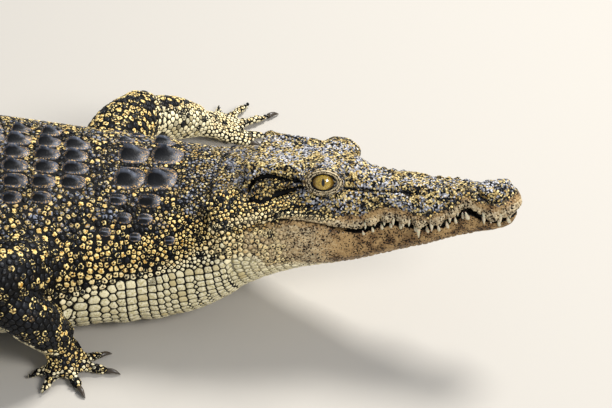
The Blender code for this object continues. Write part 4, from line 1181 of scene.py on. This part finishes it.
for name, (centre, outward, forward, upward) in eyes.items():
    turn = full_turn(96)
    spread = np.sign(np.cos(turn)) * np.abs(np.cos(turn)) ** 1.12
    rings = []
    for share, height, _ in LID_RINGS:
        ahead, level = share * LID_HALF_LENGTH * spread, share * LID_HALF_HEIGHT * np.sin(turn)
        flat = centre + ahead[:, None] * forward + level[:, None] * upward
        wave = 1 + 0.18 * np.sin(turn * 13 + share * 40) + 0.12 * np.sin(turn * 31 + share * 25)
        at_rim = min(1.0, 1.08 / share)
        on_ball = np.sqrt(EYE_RADIUS**2 - (ahead**2 + level**2) * at_rim**2)
        at_foot = max(1.0, LID_FOOT / share)
        start = flat + (flat - centre) * (at_foot - 1) + outward * 0.04
        over = np.array([(skin_tree.ray_cast(p, -outward)[0] or Vector(p - outward * 0.035)) for p in start])
        over = (over - centre) @ outward + UNDER_SCALES
        over = np.maximum.reduce([np.roll(over, k) for k in (-1, 0, 1)])
        on_skin = smoothstep(1.02, 1.42, share)
        rings.append(flat + ((1 - on_skin) * on_ball + on_skin * over + height * wave)[:, None] * outward)
    index = np.arange(len(LID_RINGS) * len(turn)).reshape(len(LID_RINGS), -1)
    lid_mesh = faced_out(f"eyelids_{name}", np.concatenate(rings), bands(index).tolist(), finer=True)
    if lid_mesh.polygons[300].normal.dot(Vector(outward)) < 0:
        lid_mesh.flip_normals()
    places = positions(lid_mesh)
    share, _, _ = round_eye(places, centre, outward, forward, upward)
    _, lid_roots = settle(places)
    own = 1 - smoothstep(1.60, 1.86, share + 0.10 * np.sin(places @ forward * 900))
    lid_marks = {"pale": 0.35, "gold": 0.3, "tan": 0.95, "slate": 0.0}
    # The rim mark takes the darkness of the rings: black at the wet edge, and painted shade in the valleys
    # between the folds.
    store(
        lid_mesh, root=places, tint=np.full(len(places), 0.5),
        rim=np.interp(share, [ring[0] for ring in LID_RINGS], [ring[2] for ring in LID_RINGS]),
        **{field: fields[field][lid_roots] * (1 - own) + value * own for field, value in lid_marks.items()},
    )
    bake_map(lid_mesh, lid_roots, 0 * places[:, :2], 1)
    pieces.append(in_place(lid_mesh))

# ---- Hide: leathery skin and horny scales --------------------------------------------------------
# Keratin grown over skin: near-black slate scales with ochre ones among them, cream below. Wet-looking and
# smooth on the plates, dull between them.


def linear(code):
    """An sRGB hex colour as the linear RGBA that a shader takes."""
    parts = [int(code[i : i + 2], 16) / 255 for i in (1, 3, 5)]
    return (*(p / 12.92 if p <= 0.04045 else ((p + 0.055) / 1.055) ** 2.4 for p in parts), 1.0)


NODES = {  # type, settings, the inputs that its values go to, the output that is used
    "place": ("ShaderNodeTexCoord", {}, (), "Object"),
    "mark": ("ShaderNodeAttribute", {}, (), "Fac"),
    "mark_place": ("ShaderNodeAttribute", {}, (), "Vector"),
    "mix": ("ShaderNodeMix", {"data_type": "RGBA"}, (0, 6, 7), 2),
    "ease": ("ShaderNodeMapRange", {"interpolation_type": "SMOOTHSTEP"}, (0, 1, 2), 0),
    "ramp": ("ShaderNodeMapRange", {}, (0, 1, 2), 0),
    "plus": ("ShaderNodeMath", {"operation": "MULTIPLY_ADD"}, (2, 0, 1), 0),
    "times": ("ShaderNodeMath", {"operation": "MULTIPLY"}, (0, 1), 0),
    "math": ("ShaderNodeMath", {}, (0, 1), 0),
    "noise": ("ShaderNodeTexNoise", {}, ("Vector", "Scale", "Detail"), "Fac"),
    "noise_colour": ("ShaderNodeTexNoise", {}, ("Vector", "Scale"), "Color"),
    "cells": ("ShaderNodeTexVoronoi", {}, ("Vector", "Scale"), "Distance"),
    "cell_colour": ("ShaderNodeTexVoronoi", {}, ("Vector", "Scale"), "Color"),
    "split": ("ShaderNodeSeparateColor", {}, (0,), None),
    "vector": ("ShaderNodeVectorMath", {}, (0, 1, 2), 0),
    "dot": ("ShaderNodeVectorMath", {"operation": "DOT_PRODUCT"}, (0, 1), 1),
    "bump": ("ShaderNodeBump", {}, ("Strength", "Distance", "Height"), 0),
}


def connect(node, values):
    """Sets a node's inputs, by name or number, or links them to the outputs given."""
    for name, value in values.items():
        if isinstance(value, bpy.types.NodeSocket):
            node.id_data.links.new(value, node.inputs[name])
        else:
            node.inputs[name].default_value = value


def add_node(tree, kind, *values, **settings):
    """Adds a node with its settings, fills its inputs in order, and gives the output that is used."""
    type_name, usual, inputs, output = NODES[kind]
    made = tree.nodes.new(type_name)
    for name, value in (usual | settings).items():
        setattr(made, name, value)
    connect(made, dict(zip(inputs, values)))
    return made.outputs if output is None else made.outputs[output]


def new_finish(name):
    """A new material, with its shader and what adds nodes to it."""
    finish = bpy.data.materials.new(name)
    finish.use_nodes = True
    return finish, finish.node_tree.nodes["Principled BSDF"], partial(add_node, finish.node_tree)


def hide_material(name, gloss, roughness, bump):
    """Crocodile hide, black in the grooves where the rims of its scales are sunk."""
    finish, shader, node = new_finish(name)
    root = node("mark_place", attribute_name="root")
    tint, rim, pale_share, gold_share, tan_share, slate_share = (
        node("mark", attribute_name=mark) for mark in ("tint", "rim", "pale", "gold", "tan", "slate")
    )
    place = node("place")
    broad, fleck, drift, grain, fine = (  # blotches of these sizes in millimetres
        node("noise", vector, 1000 / size_mm, detail) for vector, size_mm, detail in (
            (root, 38, 2), (root, 11, 1), (place, 16, 2), (place, 2.2, 2), (place, 0.9, 2),
        )
    )
    other = node("math", node("plus", 0.0, tint, 7.3), operation="FRACT")

    # Black horn with a bead of ochre or cream in the middle of some scales, and broken rings on others.
    black = node("mix", node("ease", broad, 0.40, 0.62), linear("#050506"), linear("#14161a"))
    ochre = node("mix", node("ease", grain, 0.38, 0.62), linear("#b5822c"), linear("#fbe093"))
    paler = node("ease", node("plus", pale_share, grain, 0.5), 0.25, 0.85)
    ochre = node("mix", paler, ochre, linear("#f8ebc0"))
    choice = gold_share
    for share, weight in ((broad, 0.8), (fleck, 1.0), (tint, -1.0), (pale_share, 0.35)):
        choice = node("plus", choice, share, weight)
    extent = node("plus", node("plus", rim, grain, -2.2), pale_share, -0.5)
    bead = node("times", node("ease", choice, 0.87, 0.93), node("ease", extent, -0.26, -0.40))
    hollow = node("ease", other, 0.42, 0.46)
    hollow = node("times", hollow, node("ease", node("plus", rim, grain, 0.5), 0.66, 0.56))
    hollow = node("times", hollow, node("ease", pale_share, 0.6, 0.4))
    bead = node("times", bead, node("math", 1.0, hollow, operation="SUBTRACT"))
    ring = node("ease", choice, 0.60, 0.66)
    for share, low, high in ((rim, 0.50, 0.62), (rim, 0.96, 0.88), (grain, 0.50, 0.58)):
        ring = node("times", ring, node("ease", share, low, high))
    colour = node("mix", ring, node("mix", bead, black, ochre), ochre)

    # Cream scales of the belly and throat.
    cream = node("mix", node("ease", grain, 0.3, 0.7), linear("#bdb07f"), linear("#ede3c2"))
    cream = node("mix", node("ease", other, 0.75, 1.0), cream, linear("#c4b382"))
    swirl = node("noise_colour", place, 1000 / 6.0)
    warped = node("vector", swirl, (0.004, 0.004, 0.004), place, operation="MULTIPLY_ADD")
    pores = node("cells", warped, 1000 / 2.4)
    cream = node("mix", node("ease", node("plus", pores, fleck, 1.0), 0.64, 0.54), cream, linear("#3a3018"))
    colour = node("mix", node("ease", node("plus", pale_share, fleck, 0.6), 0.84, 1.0), colour, cream)

    # Tan jaws with a dark pore every few millimetres.
    blotch = node("ease", node("plus", fleck, grain, 0.5), 0.50, 0.95)
    tan_tone = node("mix", blotch, linear("#684d30"), linear("#a8895c"))
    paler = node("ease", node("plus", pale_share, grain, 0.6), 0.36, 1.0)
    tan_tone = node("mix", paler, tan_tone, linear("#ece0bb"))
    in_pore = node("ease", node("plus", pores, fleck, 0.6), 0.74, 0.62)
    tan_tone = node("mix", in_pore, tan_tone, linear("#1d140a"))
    is_tan = node("plus", node("plus", tan_share, grain, 0.7), fleck, 0.9)
    colour = node("mix", node("ease", is_tan, 0.95, 1.25), colour, tan_tone)

    # Slate top of the head, flecked with ochre and black far more finely than its scales.
    dice = node("split", node("cell_colour", warped, 1000 / 1.9))
    slate_light = node("mix", node("ease", slate_share, 0.35, 0.8), linear("#767b88"), linear("#d3d1d4"))
    slate_tone = node("mix", dice[1], linear("#42454e"), slate_light)
    is_ochre = node("ease", node("plus", dice[0], drift, -1.3), 0.0, 0.04)
    slate_tone = node("mix", is_ochre, slate_tone, node("mix", dice[2], linear("#82642a"), linear("#ecd595")))
    is_black = node("ease", node("plus", dice[0], drift, 0.7), 0.78, 0.74)
    slate_tone = node("mix", is_black, slate_tone, linear("#0a0a0c"))
    is_slate = slate_share
    for share, weight in ((grain, 0.6), (fleck, 0.6), (drift, 0.8)):
        is_slate = node("plus", is_slate, share, weight)
    colour = node("mix", node("ease", is_slate, 1.36, 1.54), colour, slate_tone)

    # The grooves, darker than the scales, and black at the very bottom.
    depth = node("plus", node("plus", rim, slate_share, -0.03), tan_share, -0.08)
    groove_tone = node("mix", tan_share, linear("#070605"), linear("#5f4828"))
    colour = node("mix", node("ease", depth, 0.86, 0.97), colour, groove_tone)
    # A rim mark of 1 is also set on the skin in the mouth's gap, the ear and the mouth's corner, and on the
    # valleys of the lids; there this black is painted shade.
    colour = node("mix", node("ease", rim, 0.992, 1.0), colour, linear("#070605"))
    connect(shader, {
        "Base Color": colour, "Roughness": roughness, "Specular IOR Level": gloss,
        "Normal": node("bump", bump, 0.0004, fine),
    })
    return finish


horn = hide_material("horny_scales", 0.20, 0.40, 0.35)
leather = hide_material("soft_skin", 0.12, 0.60, 0.6)

# Worn horn of the plates: slate black, with a fine wrinkled bump.
plate_horn, shader, node = new_finish("worn_plate_horn")
place, rim, hollow = node("place"), node("mark", attribute_name="rim"), node("mark", attribute_name="hollow")
wide, fine = node("noise", place, 1000 / 9.0, 3.0), node("noise", place, 1000 / 1.6, 2.0)
tone = node("mix", node("ramp", wide, 0.35, 0.68), linear("#1f2228"), linear("#5d626e"))
worn = node("times", node("ramp", fine, 0.54, 0.62), node("ramp", rim, 0.30, 0.80))
tone = node("mix", worn, tone, linear("#c9a268"))
# Painted shade: the flanks of each keel go near black.
tone = node("mix", node("ramp", hollow, 0.10, 0.65), tone, linear("#0a0a0b"))
tone = node("mix", node("ramp", rim, 0.93, 0.99), tone, linear("#0b0a08"))
wrinkles = node("bump", 0.5, 0.0005, fine)
connect(shader, {"Base Color": tone, "Roughness": 0.42, "Specular IOR Level": 0.28, "Normal": wrinkles})
for piece in pieces:
    piece.data.materials.append(plate_horn if piece.name in ("back_plates", "tail_crest") else horn)

skin_mesh.materials.clear()
skin_mesh.materials.append(leather)
# The skin shows dark in the grooves between the scales; in the mouth's gap, the ear and the mouth's corner
# its rim mark is 1, which paints it black: painted shade.
sunk = np.where(in_painted_shade, 1.0, np.where(is_head, 0.93, 0.97))
store(skin_mesh, root=points, tint=np.full(len(points), 0.9), rim=sunk, **fields)
skin = in_place(skin_mesh)
flesh = [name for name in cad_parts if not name.startswith("eye") and "claw" not in name]
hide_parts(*flesh)

# ---- Eyes ----------------------------------------------------------------------------------------
# A wet ball with a golden iris and an upright slit pupil under a clear glossy coat, between horny lids.
def ball(name, centre, axes, finish):
    """A fine round mesh whose own axes are turned to those given."""
    mesh = bpy.data.meshes.new(name)
    bm = bmesh.new()
    bmesh.ops.create_uvsphere(bm, u_segments=64, v_segments=48, radius=EYE_RADIUS)
    for vertex in bm.verts:
        vertex.co = Vector(centre + axes.T @ np.array(vertex.co))
    bmesh.ops.recalc_face_normals(bm, faces=bm.faces)
    bm.to_mesh(mesh)
    bm.free()
    mesh.materials.append(finish)
    return in_place(mesh)


def eye_material(name, centre, forward, upward):
    """Eyeball whose iris and pupil are drawn by the angle from its axis."""
    finish, shader, node = new_finish(name)
    away = node("vector", node("place"), tuple(centre), operation="SUBTRACT")
    sideways, level = (node("dot", away, tuple(axis / EYE_RADIUS)) for axis in (forward, upward))
    square = node("plus", node("times", sideways, sideways), level, level)
    ring = node("math", square, operation="SQRT")
    streaks = node("noise", node("vector", away, operation="NORMALIZE"), 14.0, 4.0)
    iris = node("mix", node("ease", streaks, 0.35, 0.65), linear("#7d5f17"), linear("#c9a843"))
    iris = node("mix", node("ease", ring, 0.50, 0.70), iris, linear("#6a4c14"))
    across = node("math", node("times", sideways, 6.4), operation="ABSOLUTE")
    upright = node("math", node("times", level, 2.6), operation="ABSOLUTE")
    slit = node("plus", across, upright, upright)
    iris = node("mix", node("ease", slit, 0.86, 0.74), iris, linear("#050403"))
    colour = node("mix", node("ease", ring, 0.76, 0.82), iris, linear("#17130d"))
    connect(shader, {"Base Color": colour, "Roughness": 0.05, "Coat Weight": 1.0, "Coat Roughness": 0.02})
    return finish


for name, (centre, outward, forward, upward) in eyes.items():
    finish = eye_material(f"eye_{name}_iris_and_cornea", centre, forward, upward)
    made = ball(f"eyeball_{name}", centre, np.array((forward, upward, outward)), finish)
    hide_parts(f"eye_{name}")

# ---- Teeth ---------------------------------------------------------------------------------------
# Pointed ivory pegs that grow from the jaws and show along the closed mouth, the fourth lower one in a notch.
def peg(root, tip, radius, bow, sides=10, rings=9):
    """A curved tapering peg from root to tip."""
    way = tip - root
    length = np.linalg.norm(way)
    way = way / length
    side = np.cross(way, bow)
    side /= np.linalg.norm(side)
    out = np.cross(side, way)
    turn = full_turn(sides)
    verts = []
    for share in np.linspace(0, 0.97, rings):
        thick = radius * (1 - share**1.6) ** 0.75 + 0.0001
        centre = root + way * length * share + out * 0.12 * length * math.sin(math.pi * share)
        verts.extend(centre + thick * (side * math.cos(a) + out * math.sin(a)) for a in turn)
    verts.append(tip)
    index = np.arange(rings * sides).reshape(rings, sides)
    point = zip(index[-1], np.roll(index[-1], -1), [rings * sides] * sides)
    return verts, [*bands(index), *point, index[0][::-1]]


def joined(name, parts, finish):
    """One piece made of several pegs."""
    verts, faces = [], []
    for some_verts, some_faces in parts:
        faces.extend([int(i) + len(verts) for i in face] for face in some_faces)
        verts.extend(some_verts)
    mesh = faced_out(name, verts, faces)
    mesh.materials.append(finish)
    made = in_place(mesh)
    return made


ivory, shader, node = new_finish("tooth_enamel")
stain = node("noise", node("place"), 1000 / 3.0, 2.0)
connect(shader, {
    "Base Color": node("mix", stain, linear("#dcd2b8"), linear("#a89871")),
    "Roughness": 0.28, "Subsurface Weight": 0.15, "Subsurface Scale": 0.002,
})

teeth = []
outward_bow = in_head(0, 1, 0) - in_head(0, 0, 0)


def add_tooth(side, root, tip, radius):
    """One tooth from its root to its tip, both in skull lengths; it bows outward."""
    ends = (in_head(along, side * across, up) for along, across, up in (root, tip))
    teeth.append(peg(*ends, SKULL * radius, side * outward_bow))


for side in (1, -1):
    for place, length in UPPER_TEETH:
        wide, foot = float(muzzle_half_width(place)), float(lip(place))
        tip = (place + 0.003, wide - 0.006, foot - length)
        add_tooth(side, (place, wide - 0.020, foot + 0.024), tip, 0.0072 + 0.10 * length)
    for place, length in LOWER_TEETH:
        wide, foot = float(jaw_half_width(place)), float(lip(place) - mouth_gap(place))
        tip = (place, wide + 0.002, foot + length)
        add_tooth(side, (place, wide - 0.014, foot - 0.02), tip, 0.0068 + 0.08 * length)
    place, length = NOTCH_TOOTH
    wide, foot = float(jaw_half_width(place)), float(lip(place) - mouth_gap(place))
    tip = (place + 0.004, wide + 0.010, foot - 0.02 + length)
    add_tooth(side, (place, wide - 0.006, foot - 0.02), tip, 0.0092)
joined("teeth", teeth, ivory)

# ---- Claws ---------------------------------------------------------------------------------------
# Dark curved horn on the three inner toes of each foot.
claw_horn, shader, node = new_finish("claw_horn")
grain = node("noise", node("place"), 1000 / 2.0, 3.0)
connect(shader, {"Base Color": node("mix", grain, linear("#15110d"), linear("#54483a")), "Roughness": 0.35})
nails, nail_nodes = [], []
for root, way, length, radius, node in claws:
    start = root + (0, 0, radius * 0.66) - way * 0.005
    tip = root + way * length + (0, 0, 0.0012)
    nails.append(peg(start, tip, radius * 0.46, np.array((0, 0, 1.0)), 12, 10))
    nail_nodes.append(node)
nail_piece = joined("claws", nails, claw_horn)
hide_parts(*nail_nodes)

# ---- Floor, light and camera ---------------------------------------------------------------------
# A plain pale floor under soft studio light, seen from above and from the animal's right.
floor_mesh = bpy.data.meshes.new("floor")
floor_mesh.from_pydata([(-9, -9, 0), (9, -9, 0), (9, 9, 0), (-9, 9, 0)], [], [(0, 1, 2, 3)])
floor = bpy.data.objects.new("floor", floor_mesh)
bpy.context.scene.collection.objects.link(floor)
paper, shader, _ = new_finish("matt_studio_paper")
connect(shader, {"Base Color": linear("#b4aea4"), "Roughness": 0.9})
floor_mesh.materials.append(paper)

world = bpy.data.worlds.new("studio")
world.use_nodes = True
connect(world.node_tree.nodes["Background"], {"Color": (0.78, 0.86, 1.0, 1), "Strength": 0.44})
bpy.context.scene.world = world
for name, place, size, power in (
    ("back_box", (1.3, 1.1, 2.4), 0.8, 98), ("front_fill", (2.2, -1.8, 2.2), 1.0, 78),
):
    light = bpy.data.lights.new(name, "AREA")
    light.size = size
    light.energy = power
    lamp = bpy.data.objects.new(name, light)
    lamp.location = place
    lamp.rotation_euler = (Vector((0.2, 0, 0)) - Vector(place)).to_track_quat("-Z", "Y").to_euler()
    bpy.context.scene.collection.objects.link(lamp)
bpy.context.scene.view_settings.view_transform = "Standard"

VIEW_UP = math.radians(40)
VIEW_DISTANCE = 3.0
VIEW_WIDTH = 0.664  # what the picture spans at the animal, in metres
camera_data = bpy.data.cameras.new("camera")
camera_data.lens = camera_data.sensor_width * VIEW_DISTANCE / VIEW_WIDTH
camera = bpy.data.objects.new("camera", camera_data)
aim = Vector((0.485, 0.038, 0.08))
camera.location = aim + Vector((0, -math.cos(VIEW_UP), math.sin(VIEW_UP))) * VIEW_DISTANCE
camera.rotation_euler = (math.pi / 2 - VIEW_UP, 0, 0)
bpy.context.scene.collection.objects.link(camera)
bpy.context.scene.camera = camera
